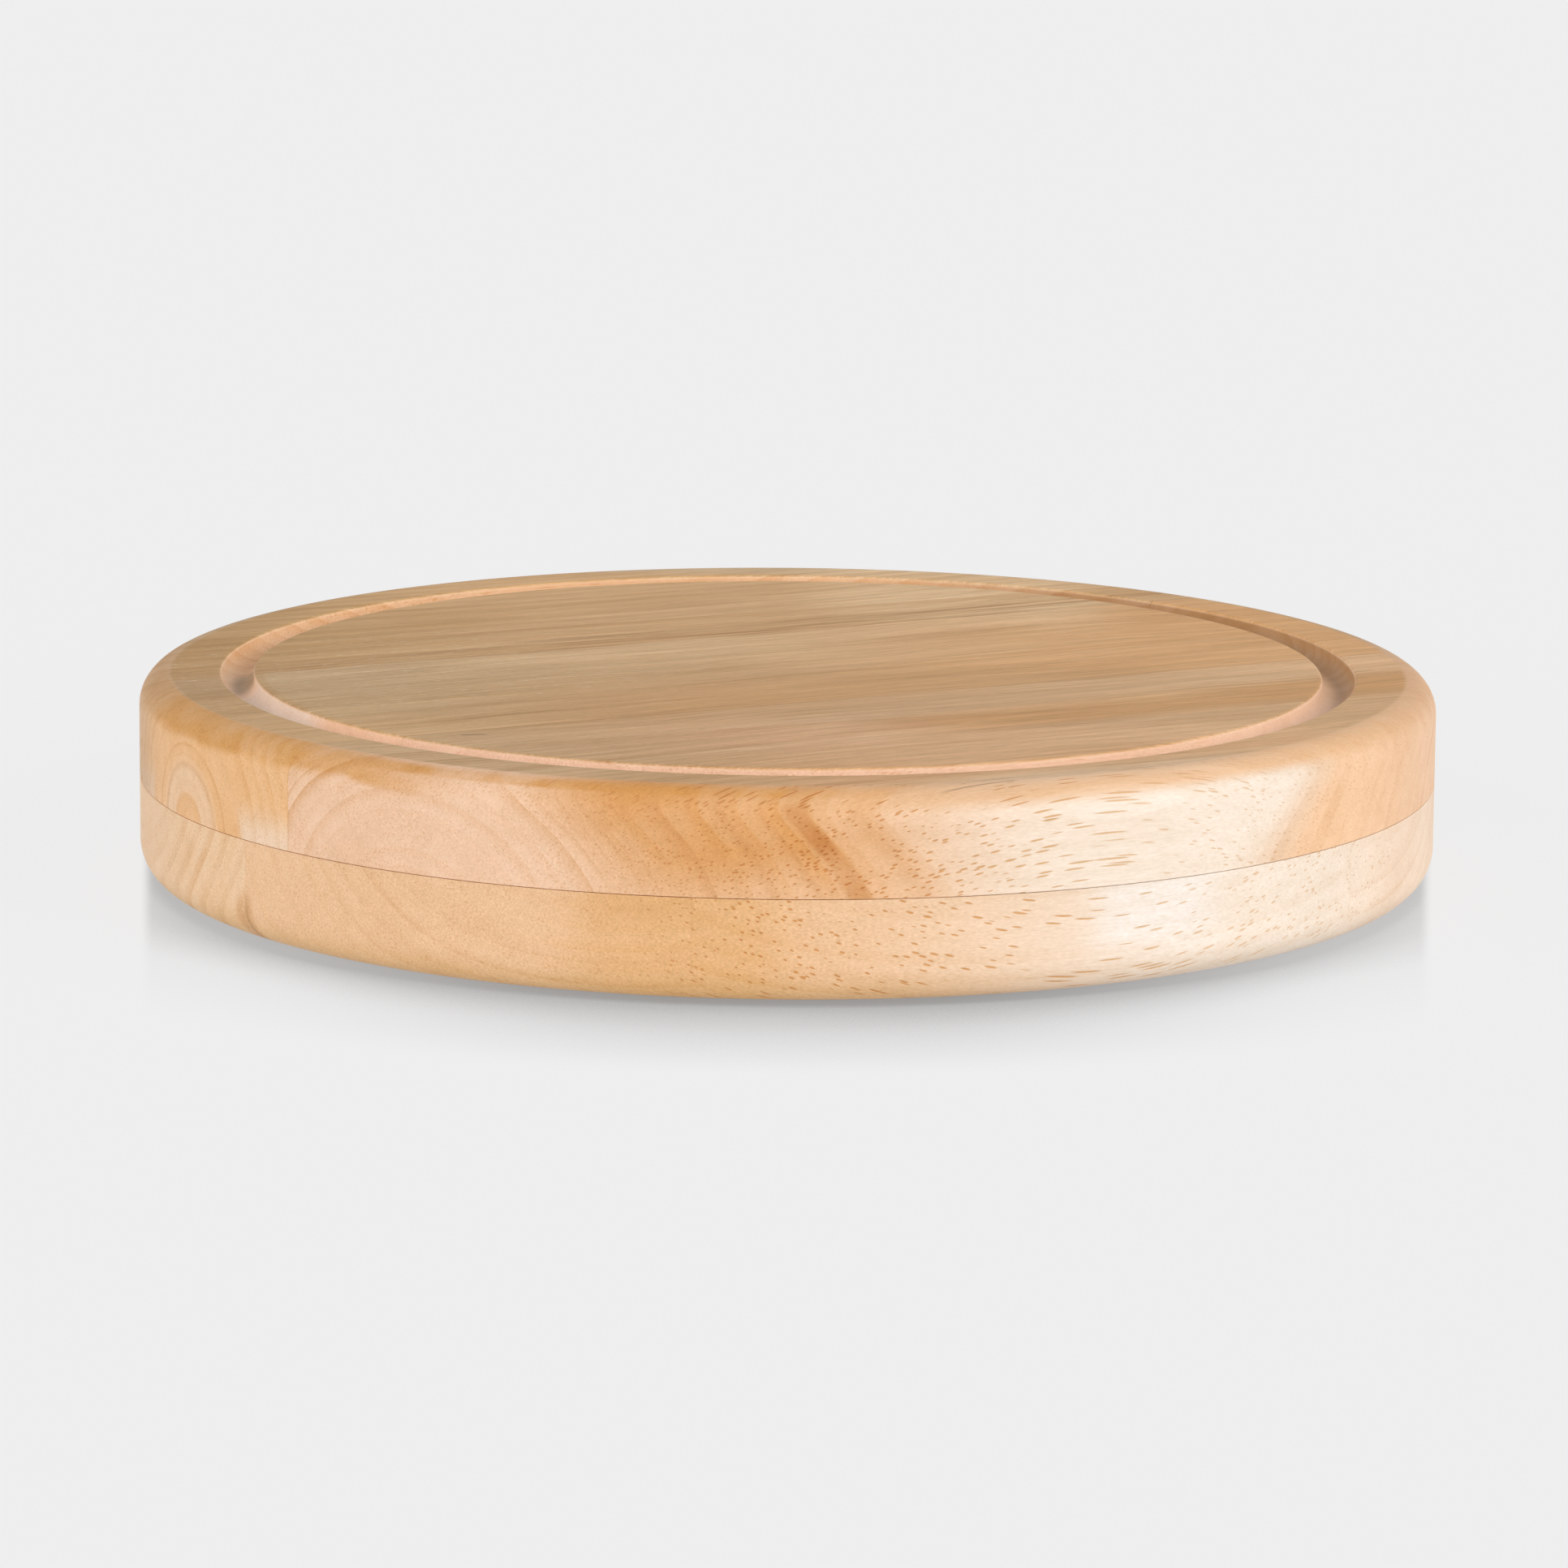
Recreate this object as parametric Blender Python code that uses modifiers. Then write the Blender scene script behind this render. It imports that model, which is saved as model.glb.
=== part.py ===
"""Round swivel cheese board: two rubberwood discs on a rim pivot, with four cheese tools in a carved tray.

Metres, +Z up. The origin is the centre of the underside, the pivot stands at +Y, and the tools lie along X
with their tips towards -X. The upper disc turns about the pivot and uncovers the tray in the lower one.
"""

import math

import bmesh
import bpy
from mathutils import Matrix

# Fits
TOUCH_GAP = 0.0003  # between two pieces that touch
POCKET_CLEAR = 0.0015  # round a tool that lies in its pocket
CUT_OVERRUN = 0.004  # how far a cutter passes the face that it cuts

# The two boards
BOARD_DIAMETER = 0.2591
LOWER_THICKNESS = 0.02015
UPPER_THICKNESS = 0.02015
TOP_ROUND = 0.0064
BOTTOM_ROUND = 0.0074
SEAM_EASE = 0.0005
RIM_WIDTH = 0.0155  # from the edge of the board to the groove
GROOVE_WIDTH = 0.0080
GROOVE_DEPTH = 0.0038
GROOVE_LIP = 0.0008  # rounding of the groove's two edges

# The pivot
PIVOT_INSET = 0.0180  # from the edge of the board to the pivot's axis
SHOULDER_RADIUS = 0.0040
THREAD_RADIUS = 0.0030
THREAD_LENGTH = 0.0095
BOLT_CHAMFER = 0.0005
HEAD_RADIUS = 0.0075
HEAD_HEIGHT = 0.0030
HEAD_RECESS = 0.0005  # of the head's face below the underside
SOCKET_RADIUS = 0.0029
SOCKET_DEPTH = 0.0018
BOLT_WASHER_RADIUS = 0.0082
BOLT_WASHER_THICKNESS = 0.0010
BUSHING_WALL = 0.0012
FLANGE_RADIUS = 0.0088
FLANGE_THICKNESS = 0.0012
GLIDE_WASHER_THICKNESS = 0.0010
INSERT_WALL = 0.0020
INSERT_LENGTH = 0.0110
INSERT_BARBS = 3
INSERT_BARB_DEPTH = 0.0004

# The handles and ferrules
HANDLE_LENGTH = 0.0780
HANDLE_WIDTH = 0.0180
HANDLE_THICKNESS = 0.0130
HANDLE_NECK_WIDTH = 0.0124
HANDLE_FULLEST = 0.0520  # from the ferrule to the widest place
BUTT_FULLNESS = 2.6  # exponent of the butt's curve: 2 is an ellipse, more is squarer
TENON_LENGTH = 0.0080
FERRULE_LENGTH = 0.0100
FERRULE_WALL = 0.0010
FERRULE_NOSE_WIDTH = 0.0104
FERRULE_NOSE_ROUND = 0.0008

# The blades
BLADE_THICKNESS = 0.0015
BLADE_LENGTH = 0.0620
TANG_LENGTH = 0.0320
TANG_WIDTH = 0.0050
NECK_LENGTH = 0.0080
NECK_WIDTH = 0.0070
CUTTING_EDGE = 0.0004  # thickness left at a ground edge
GRIND_LENGTH = 0.0070
CHISEL_WIDTH = 0.0260
CHISEL_SHOULDER = 0.0240
FORK_WIDTH = 0.0150
FORK_SHOULDER = 0.0150
PRONG_LENGTH = 0.0075
PRONG_RISE = 0.0015  # of the prongs' point above the spine
PRONG_POINT = 0.0004  # rounding of each prong's point
PLANE_WIDTH = 0.0280
PLANE_SHOULDER = 0.0160
PLANE_SLOT_WIDTH = 0.0030
PLANE_SLOT_LENGTH = 0.0190
PLANE_SLOT_PLACE = 0.0320  # from the ferrule to the slot's middle
PLANE_LIP_LENGTH = 0.0050
PLANE_LIP_RISE = 0.0012
SPADE_WIDTH = 0.0240
SPADE_SHOULDER = 0.0160
SPADE_CHEEK = 0.0360

# The tray in the lower board
TRAY_FLOOR = 0.0050  # wood left under the handles
TRAY_WALL = 0.0040  # wood between neighbouring pockets
POCKET_CORNER = 0.0050
FINGER_FLOOR = 0.0065  # wood left under the finger trough
FINGER_TROUGH_WIDTH = 0.0280
FINGER_ROOM = 0.0140  # beyond the outer handles

# Roundness of the facets
BOARD_STEPS = 96
HARDWARE_STEPS = 24
HANDLE_STEPS = 20
ARC_STEP = math.radians(18)

# Levels and places that follow from the sizes above
BOARD_RADIUS = BOARD_DIAMETER / 2
LOWER_TOP = LOWER_THICKNESS
UPPER_BOTTOM = LOWER_TOP + TOUCH_GAP
UPPER_TOP = UPPER_BOTTOM + UPPER_THICKNESS
GROOVE_OUTER = BOARD_RADIUS - RIM_WIDTH
GROOVE_INNER = GROOVE_OUTER - GROOVE_WIDTH
PIVOT_Y = BOARD_RADIUS - PIVOT_INSET

HEAD_TOP = HEAD_RECESS + HEAD_HEIGHT
BOLT_WASHER_BOTTOM = HEAD_TOP + TOUCH_GAP
COUNTERBORE_FLOOR = BOLT_WASHER_BOTTOM + BOLT_WASHER_THICKNESS + TOUCH_GAP
GLIDE_WASHER_BOTTOM = UPPER_BOTTOM - TOUCH_GAP - GLIDE_WASHER_THICKNESS
FLANGE_TOP = GLIDE_WASHER_BOTTOM - TOUCH_GAP
FLANGE_BOTTOM = FLANGE_TOP - FLANGE_THICKNESS
FLANGE_SEAT = FLANGE_BOTTOM - TOUCH_GAP
BUSHING_BORE = SHOULDER_RADIUS + TOUCH_GAP
BUSHING_RADIUS = BUSHING_BORE + BUSHING_WALL
INSERT_BORE = THREAD_RADIUS + TOUCH_GAP
INSERT_RADIUS = INSERT_BORE + INSERT_WALL
INSERT_BOTTOM = UPPER_BOTTOM + TOUCH_GAP
INSERT_TOP = INSERT_BOTTOM + INSERT_LENGTH

HANDLE_AXIS = TRAY_FLOOR + TOUCH_GAP + HANDLE_THICKNESS / 2
BLADE_BOTTOM = HANDLE_AXIS - BLADE_THICKNESS / 2
BLADE_TOP = HANDLE_AXIS + BLADE_THICKNESS / 2
BLADE_FLOOR = BLADE_BOTTOM - TOUCH_GAP
TOOL_LENGTH = HANDLE_LENGTH + FERRULE_LENGTH + BLADE_LENGTH
BUTT_X = TOOL_LENGTH / 2
FERRULE_BACK_X = BUTT_X - HANDLE_LENGTH
FERRULE_FRONT_X = FERRULE_BACK_X - FERRULE_LENGTH
FINGER_X = BUTT_X - HANDLE_LENGTH / 2

RUBBERWOOD = ((0.80, 0.56, 0.33), 0.0, 0.55)
RUBBERWOOD_DARK = ((0.76, 0.51, 0.29), 0.0, 0.55)
STAINLESS = ((0.62, 0.62, 0.61), 1.0, 0.28)
BRASS = ((0.72, 0.55, 0.28), 1.0, 0.35)
NYLON = ((0.86, 0.85, 0.80), 0.0, 0.50)


def clear_scene():
    for obj in list(bpy.data.objects):
        bpy.data.objects.remove(obj, do_unlink=True)


def new_collection(name, hidden=False):
    collection = bpy.data.collections.new(name)
    bpy.context.scene.collection.children.link(collection)
    collection.hide_render = hidden
    return collection


def material(name, finish):
    """A Principled BSDF from (colour, metallic, roughness)."""
    colour, metallic, roughness = finish
    made = bpy.data.materials.new(name)
    made.use_nodes = True
    shader = made.node_tree.nodes["Principled BSDF"]
    shader.inputs["Base Color"].default_value = (*colour, 1.0)
    shader.inputs["Metallic"].default_value = metallic
    shader.inputs["Roughness"].default_value = roughness
    made.diffuse_color = (*colour, 1.0)
    return made


def rounded(corners):
    """The points of a flat outline whose corners (x, y, radius) are turned into arcs."""
    points = []
    count = len(corners)
    for i, (x, y, radius) in enumerate(corners):
        before, after = corners[i - 1], corners[(i + 1) % count]
        to_before = (before[0] - x, before[1] - y)
        to_after = (after[0] - x, after[1] - y)
        length_before = math.hypot(*to_before)
        length_after = math.hypot(*to_after)
        a = (to_before[0] / length_before, to_before[1] / length_before)
        b = (to_after[0] / length_after, to_after[1] / length_after)
        inside = math.acos(max(-1.0, min(1.0, a[0] * b[0] + a[1] * b[1])))
        tangent = min(radius / math.tan(inside / 2), 0.48 * length_before, 0.48 * length_after)
        if tangent < 1e-6:
            points.append((x, y))
            continue
        radius = tangent * math.tan(inside / 2)
        bisector = (a[0] + b[0], a[1] + b[1])
        reach = radius / math.sin(inside / 2) / math.hypot(*bisector)
        centre = (x + bisector[0] * reach, y + bisector[1] * reach)
        start = math.atan2(y + a[1] * tangent - centre[1], x + a[0] * tangent - centre[0])
        end = math.atan2(y + b[1] * tangent - centre[1], x + b[0] * tangent - centre[0])
        turn = (end - start + math.pi) % (2 * math.pi) - math.pi
        steps = max(2, math.ceil(abs(turn) / ARC_STEP))
        for k in range(steps + 1):
            angle = start + turn * k / steps
            points.append((centre[0] + radius * math.cos(angle), centre[1] + radius * math.sin(angle)))
    return points


def arc(centre, radii, start, end, steps):
    """Profile points along an elliptical arc, angles in degrees from the +X side."""
    angles = [math.radians(start + (end - start) * k / steps) for k in range(steps + 1)]
    return [(centre[0] + radii[0] * math.cos(t), centre[1] + radii[1] * math.sin(t)) for t in angles]


def link(name, data, collection, finish=None):
    obj = bpy.data.objects.new(name, data)
    collection.objects.link(obj)
    if finish:
        data.materials.append(finish)
    return obj


def realised(obj):
    """The object's evaluated shape as a plain welded mesh, in its own coordinates."""
    graph = bpy.context.evaluated_depsgraph_get()
    mesh = bpy.data.meshes.new_from_object(obj.evaluated_get(graph))
    shape = bmesh.new()
    shape.from_mesh(mesh)
    bmesh.ops.remove_doubles(shape, verts=shape.verts, dist=1e-6)
    bmesh.ops.dissolve_limit(shape, angle_limit=math.radians(0.05), verts=shape.verts, edges=shape.edges)
    bmesh.ops.recalc_face_normals(shape, faces=shape.faces)
    shape.to_mesh(mesh)
    shape.free()
    return mesh


def replace_with_mesh(obj):
    """Swaps a curve, or an object with modifiers, for one plain mesh object in the same place."""
    name, collections, matrix = obj.name, list(obj.users_collection), obj.matrix_world.copy()
    mesh = realised(obj)
    mesh.shade_smooth()
    mesh.set_sharp_from_angle(angle=math.radians(35))
    bpy.data.objects.remove(obj, do_unlink=True)
    made = link(name, mesh, collections[0])
    made.matrix_world = matrix
    return made


def turned(name, profile, steps, collection, finish=None, closed=False):
    """A turned solid about Z. The profile of (radius, height) points runs down its outer side."""
    mesh = bpy.data.meshes.new(name)
    edges = [(i, i + 1) for i in range(len(profile) - 1)]
    if closed:
        edges.append((len(profile) - 1, 0))
    mesh.from_pydata([(radius, 0.0, height) for radius, height in profile], edges, [])
    obj = link(name, mesh, collection, finish)
    screw = obj.modifiers.new("Turn", "SCREW")
    screw.axis = "Z"
    screw.angle = 2 * math.pi
    screw.steps = screw.render_steps = steps
    screw.use_merge_vertices = True
    screw.merge_threshold = 1e-6
    return replace_with_mesh(obj)


def flat_solid(name, outline, bottom, top, collection, finish=None):
    """A flat outline given thickness, from one level to the other."""
    curve = bpy.data.curves.new(name, "CURVE")
    curve.dimensions = "2D"
    curve.fill_mode = "BOTH"
    curve.extrude = (top - bottom) / 2
    spline = curve.splines.new("POLY")
    spline.points.add(len(outline) - 1)
    for point, (x, y) in zip(spline.points, outline):
        point.co = (x, y, 0.0, 1.0)
    spline.use_cyclic_u = True
    obj = link(name, curve, collection, finish)
    obj.location.z = (top + bottom) / 2
    bpy.context.view_layer.update()
    return replace_with_mesh(obj)


def box(name, low, high, collection):
    """A box between two corners, used as a cutter."""
    mesh = bpy.data.meshes.new(name)
    shape = bmesh.new()
    bmesh.ops.create_cube(shape, size=1.0)
    middle = [(a + b) / 2 for a, b in zip(low, high)]
    size = [b - a for a, b in zip(low, high)]
    bmesh.ops.transform(
        shape, matrix=Matrix.Translation(middle) @ Matrix.Diagonal((*size, 1.0)), verts=shape.verts
    )
    shape.to_mesh(mesh)
    shape.free()
    return link(name, mesh, collection)


def round_cutter(name, radius, bottom, top, collection, steps=HARDWARE_STEPS):
    """An upright cylinder on the pivot's axis."""
    mesh = bpy.data.meshes.new(name)
    shape = bmesh.new()
    bmesh.ops.create_cone(
        shape, cap_ends=True, segments=steps, radius1=radius, radius2=radius, depth=top - bottom
    )
    shape.to_mesh(mesh)
    shape.free()
    obj = link(name, mesh, collection)
    obj.location = (0.0, PIVOT_Y, (bottom + top) / 2)
    return obj


def combine(obj, tool, operation="DIFFERENCE"):
    """Cuts the tool out of the object, or joins it on, and keeps the tool as a hidden guide."""
    tool.hide_render = True
    tool.display_type = "WIRE"
    modifier = obj.modifiers.new(tool.name, "BOOLEAN")
    modifier.operation = operation
    modifier.solver = "EXACT"
    modifier.object = tool


def joint_origin(name, place, collection):
    """An empty on a joint's axis, which carries the pieces that move with it."""
    empty = link(name, None, collection)
    empty.location = place
    empty.empty_display_size = 0.02
    bpy.context.view_layer.update()
    return empty


def carry(empty, pieces):
    bpy.context.view_layer.update()
    for piece in pieces:
        piece.parent = empty
        piece.matrix_parent_inverse = empty.matrix_world.inverted()


def handle_radius(distance):
    """Half width of a handle at a distance from the ferrule: a slow swell, then a full round butt."""
    neck, full = HANDLE_NECK_WIDTH / 2, HANDLE_WIDTH / 2
    if distance < HANDLE_FULLEST:
        return neck + (full - neck) * (1 - math.cos(math.pi * distance / HANDLE_FULLEST)) / 2
    share = (distance - HANDLE_FULLEST) / (HANDLE_LENGTH - HANDLE_FULLEST)
    return full * max(0.0, 1 - share**BUTT_FULLNESS) ** (1 / BUTT_FULLNESS)


def along_tool(obj, x, y):
    """Lays a piece turned about Z along the tool, tip towards -X, flattened to the handle's thickness."""
    obj.scale = (HANDLE_THICKNESS / HANDLE_WIDTH, 1.0, 1.0)
    obj.rotation_euler = (0.0, -math.pi / 2, 0.0)
    obj.location = (x, y, HANDLE_AXIS)


def build_upper_board(parts, cutters, wood):
    middle = (GROOVE_INNER + GROOVE_OUTER) / 2
    half = GROOVE_WIDTH / 2 - GROOVE_LIP
    lip_depth = GROOVE_LIP
    profile = [(0.0, UPPER_TOP)]
    profile += arc((GROOVE_INNER, UPPER_TOP - lip_depth), (GROOVE_LIP, lip_depth), 90, 0, 2)
    profile += arc((middle, UPPER_TOP - lip_depth), (half, GROOVE_DEPTH - lip_depth), 180, 360, 8)[1:-1]
    profile += arc((GROOVE_OUTER, UPPER_TOP - lip_depth), (GROOVE_LIP, lip_depth), 180, 90, 2)
    edge = (BOARD_RADIUS - TOP_ROUND, UPPER_TOP - TOP_ROUND)
    profile += arc(edge, (TOP_ROUND, TOP_ROUND), 90, 0, 6)
    profile += [
        (BOARD_RADIUS, UPPER_BOTTOM + SEAM_EASE),
        (BOARD_RADIUS - SEAM_EASE, UPPER_BOTTOM),
        (0.0, UPPER_BOTTOM),
    ]
    board = turned("upper_board", profile, BOARD_STEPS, parts, wood)
    hole_radius = INSERT_RADIUS + TOUCH_GAP
    hole = round_cutter(
        "insert_hole", hole_radius, UPPER_BOTTOM - CUT_OVERRUN, INSERT_TOP + TOUCH_GAP, cutters
    )
    combine(board, hole)
    return board


def handle_pocket(tool, y, cutters):
    """The deep pocket of a handle: full width past the butt, drawn in towards the ferrule."""
    wide = HANDLE_WIDTH / 2 + POCKET_CLEAR
    narrow = HANDLE_NECK_WIDTH / 2 + POCKET_CLEAR
    back = BUTT_X + POCKET_CLEAR
    fullest = FERRULE_BACK_X + HANDLE_FULLEST
    front = FERRULE_FRONT_X - POCKET_CLEAR
    upper_side = [(back, wide, wide), (fullest, wide, 4 * wide), (front, narrow, POCKET_CORNER)]
    lower_side = [(x, -v, radius) for x, v, radius in reversed(upper_side)]
    outline = [(x, y + v) for x, v in rounded(upper_side + lower_side)]
    return flat_solid(tool + "_handle_pocket", outline, TRAY_FLOOR, LOWER_TOP + CUT_OVERRUN, cutters)


def blade_pocket(tool, y, half_width, shoulder, cutters):
    """The shallow pocket of a blade, drawn in towards the ferrule and cut with one corner radius."""
    start = FERRULE_FRONT_X + FERRULE_LENGTH / 2
    throat = HANDLE_NECK_WIDTH / 2 + POCKET_CLEAR / 2
    widest = FERRULE_FRONT_X - shoulder + POCKET_CLEAR
    end = FERRULE_FRONT_X - BLADE_LENGTH - POCKET_CLEAR
    wide = half_width + POCKET_CLEAR
    upper_side = [(start, throat, 0.0), (widest, wide, 2 * POCKET_CORNER), (end, wide, POCKET_CORNER)]
    lower_side = [(x, -v, radius) for x, v, radius in reversed(upper_side)]
    outline = [(x, y + v) for x, v in rounded(upper_side + lower_side)]
    return flat_solid(tool + "_blade_pocket", outline, BLADE_FLOOR, LOWER_TOP + CUT_OVERRUN, cutters)


def build_lower_board(parts, cutters, wood, tools):
    corner = (BOARD_RADIUS - BOTTOM_ROUND, BOTTOM_ROUND)
    profile = [
        (0.0, LOWER_TOP),
        (BOARD_RADIUS - SEAM_EASE, LOWER_TOP),
        (BOARD_RADIUS, LOWER_TOP - SEAM_EASE),
    ]
    profile += arc(corner, (BOTTOM_ROUND, BOTTOM_ROUND), 0, -90, 6)
    profile.append((0.0, 0.0))
    board = turned("lower_board", profile, BOARD_STEPS, parts, wood)
    for tool in tools:
        combine(board, handle_pocket(tool["name"], tool["y"], cutters))
        combine(board, blade_pocket(tool["name"], tool["y"], tool["half_width"], tool["shoulder"], cutters))
    reach = max(abs(tool["y"]) for tool in tools) + HANDLE_WIDTH / 2 + FINGER_ROOM
    half = FINGER_TROUGH_WIDTH / 2
    corners = [
        (FINGER_X + half, reach, half),
        (FINGER_X - half, reach, half),
        (FINGER_X - half, -reach, half),
        (FINGER_X + half, -reach, half),
    ]
    trough = flat_solid("finger_trough", rounded(corners), FINGER_FLOOR, LOWER_TOP + CUT_OVERRUN, cutters)
    combine(board, trough)
    bushing_hole = BUSHING_RADIUS + TOUCH_GAP
    flange_hole = FLANGE_RADIUS + TOUCH_GAP
    head_hole = max(HEAD_RADIUS, BOLT_WASHER_RADIUS) + TOUCH_GAP
    combine(board, round_cutter("flange_seat", flange_hole, FLANGE_SEAT, LOWER_TOP + CUT_OVERRUN, cutters))
    combine(board, round_cutter("counterbore", head_hole, -CUT_OVERRUN, COUNTERBORE_FLOOR, cutters))
    combine(
        board,
        round_cutter("bushing_hole", bushing_hole, -CUT_OVERRUN, LOWER_TOP + CUT_OVERRUN, cutters),
    )
    return board


def build_pivot_bolt(parts, cutters, steel):
    thread_top = UPPER_BOTTOM + THREAD_LENGTH
    shoulder_top = UPPER_BOTTOM - TOUCH_GAP
    profile = [
        (0.0, thread_top),
        (THREAD_RADIUS - BOLT_CHAMFER, thread_top),
        (THREAD_RADIUS, thread_top - BOLT_CHAMFER),
        (THREAD_RADIUS, shoulder_top),
        (SHOULDER_RADIUS, shoulder_top),
        (SHOULDER_RADIUS, HEAD_TOP),
        (HEAD_RADIUS, HEAD_TOP),
        (HEAD_RADIUS, HEAD_RECESS + BOLT_CHAMFER),
        (HEAD_RADIUS - BOLT_CHAMFER, HEAD_RECESS),
        (0.0, HEAD_RECESS),
    ]
    bolt = turned("pivot_bolt", profile, HARDWARE_STEPS, parts, steel)
    bolt.location.y = PIVOT_Y
    socket_top = HEAD_RECESS + SOCKET_DEPTH
    combine(bolt, round_cutter("hex_socket", SOCKET_RADIUS, -CUT_OVERRUN, socket_top, cutters, steps=6))
    return bolt


def build_washer(name, inner, outer, bottom, thickness, parts, finish):
    top = bottom + thickness
    profile = [(inner, top), (outer, top), (outer, bottom), (inner, bottom)]
    washer = turned(name, profile, HARDWARE_STEPS, parts, finish, closed=True)
    washer.location.y = PIVOT_Y
    return washer


def build_bushing(parts, brass):
    bottom = COUNTERBORE_FLOOR
    profile = [
        (BUSHING_BORE, FLANGE_TOP),
        (FLANGE_RADIUS, FLANGE_TOP),
        (FLANGE_RADIUS, FLANGE_BOTTOM),
        (BUSHING_RADIUS, FLANGE_BOTTOM),
        (BUSHING_RADIUS, bottom),
        (BUSHING_BORE, bottom),
    ]
    bushing = turned("pivot_bushing", profile, HARDWARE_STEPS, parts, brass, closed=True)
    bushing.location.y = PIVOT_Y
    return bushing


def build_insert(parts, brass):
    """A press-in insert whose barbs widen towards its mouth, so that it can't draw out of the wood."""
    root = INSERT_RADIUS - INSERT_BARB_DEPTH
    pitch = INSERT_LENGTH / INSERT_BARBS
    profile = [(INSERT_BORE, INSERT_TOP)]
    for barb in range(INSERT_BARBS):
        top = INSERT_TOP - barb * pitch
        profile += [(root, top), (INSERT_RADIUS, top - 0.8 * pitch), (INSERT_RADIUS, top - 0.92 * pitch)]
    profile += [(root, INSERT_BOTTOM), (INSERT_BORE, INSERT_BOTTOM)]
    insert = turned("threaded_insert", profile, HARDWARE_STEPS, parts, brass, closed=True)
    insert.location.y = PIVOT_Y
    return insert


def build_handle(tool, y, parts, cutters, wood):
    """A turned handle, flattened, with a tenon for the ferrule and a slot for the tang."""
    tenon = HANDLE_NECK_WIDTH / 2 - FERRULE_WALL - TOUCH_GAP
    profile = [
        (0.0, HANDLE_LENGTH + TENON_LENGTH),
        (tenon, HANDLE_LENGTH + TENON_LENGTH),
        (tenon, HANDLE_LENGTH),
    ]
    swell = [HANDLE_FULLEST * k / 7 for k in range(8)]
    butt = [math.sin(math.pi / 2 * k / 6) for k in range(1, 7)]
    distances = swell + [HANDLE_FULLEST + (HANDLE_LENGTH - HANDLE_FULLEST) * share for share in butt]
    profile += [(handle_radius(distance), HANDLE_LENGTH - distance) for distance in distances]
    handle = turned(tool + "_handle", profile, HANDLE_STEPS, parts, wood)
    along_tool(handle, BUTT_X, y)
    half_slot = TANG_WIDTH / 2 + TOUCH_GAP
    slot_end = FERRULE_FRONT_X + TANG_LENGTH + TOUCH_GAP
    slot = box(
        tool + "_tang_slot",
        (FERRULE_BACK_X - TENON_LENGTH - CUT_OVERRUN, y - half_slot, BLADE_BOTTOM - TOUCH_GAP),
        (slot_end, y + half_slot, BLADE_TOP + TOUCH_GAP),
        cutters,
    )
    combine(handle, slot)
    return handle


def build_ferrule(tool, y, parts, cutters, steel):
    """A drawn cap over the handle's tenon, open at the back and slotted in the nose for the tang."""
    back = HANDLE_NECK_WIDTH / 2
    nose = FERRULE_NOSE_WIDTH / 2
    inner = back - FERRULE_WALL
    nose_inner = nose - FERRULE_WALL
    bottom = HANDLE_LENGTH + TOUCH_GAP
    top = HANDLE_LENGTH + FERRULE_LENGTH
    seat = HANDLE_LENGTH + TENON_LENGTH + TOUCH_GAP
    nose_round = (nose - FERRULE_NOSE_ROUND, top - FERRULE_NOSE_ROUND)
    profile = [(0.0, top)]
    profile += arc(nose_round, (FERRULE_NOSE_ROUND, FERRULE_NOSE_ROUND), 90, 0, 2)
    profile += [
        (back, bottom + TENON_LENGTH / 2),
        (back, bottom),
        (inner, bottom),
        (inner, seat),
        (min(nose_inner, inner), seat + (top - seat) / 2),
        (0.0, seat + (top - seat) / 2),
    ]
    ferrule = turned(tool + "_ferrule", profile, HANDLE_STEPS, parts, steel)
    along_tool(ferrule, BUTT_X, y)
    half_slot = TANG_WIDTH / 2 + TOUCH_GAP
    slot = box(
        tool + "_ferrule_slot",
        (FERRULE_FRONT_X - CUT_OVERRUN, y - half_slot, BLADE_BOTTOM - TOUCH_GAP),
        (FERRULE_BACK_X - TENON_LENGTH / 2, y + half_slot, BLADE_TOP + TOUCH_GAP),
        cutters,
    )
    combine(ferrule, slot)
    return ferrule


def chisel_sides():
    """A straight taper to one wide cutting edge."""
    half = CHISEL_WIDTH / 2
    side = [(NECK_LENGTH, NECK_WIDTH / 2, 0.010), (CHISEL_SHOULDER, 0.88 * half, 0.014)]
    side.append((BLADE_LENGTH, half, 0.001))
    return side, [], side


def fork_sides():
    """A straight spine and a curved belly that rises to two prongs."""
    half = FORK_WIDTH / 2
    notch = BLADE_LENGTH - PRONG_LENGTH
    spine = [
        (NECK_LENGTH, NECK_WIDTH / 2, 0.003),
        (FORK_SHOULDER, half, 0.004),
        (notch - PRONG_LENGTH, half, 0.020),
    ]
    prongs = [
        (BLADE_LENGTH, half + PRONG_RISE, PRONG_POINT),
        (notch, 0.60 * half, 0.0012),
        (BLADE_LENGTH - 0.3 * PRONG_LENGTH, 0.10 * half, PRONG_POINT),
    ]
    belly = [
        (NECK_LENGTH, NECK_WIDTH / 2, 0.003),
        (FORK_SHOULDER, half, 0.004),
        (notch - PRONG_LENGTH / 2, half, 0.022),
    ]
    return spine, prongs, belly


def plane_sides():
    """A broad blade with rounded corners."""
    half = PLANE_WIDTH / 2
    side = [
        (NECK_LENGTH, NECK_WIDTH / 2, 0.004),
        (PLANE_SHOULDER, half, 0.006),
        (BLADE_LENGTH, half, 0.007),
    ]
    return side, [], side


def spade_sides():
    """A broad almond shape that draws in to a point."""
    half = SPADE_WIDTH / 2
    side = [
        (NECK_LENGTH, NECK_WIDTH / 2, 0.005),
        (SPADE_SHOULDER, half, 0.008),
        (SPADE_CHEEK, 0.97 * half, 0.030),
    ]
    return side, [(BLADE_LENGTH, 0.0, 0.002)], side


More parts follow.
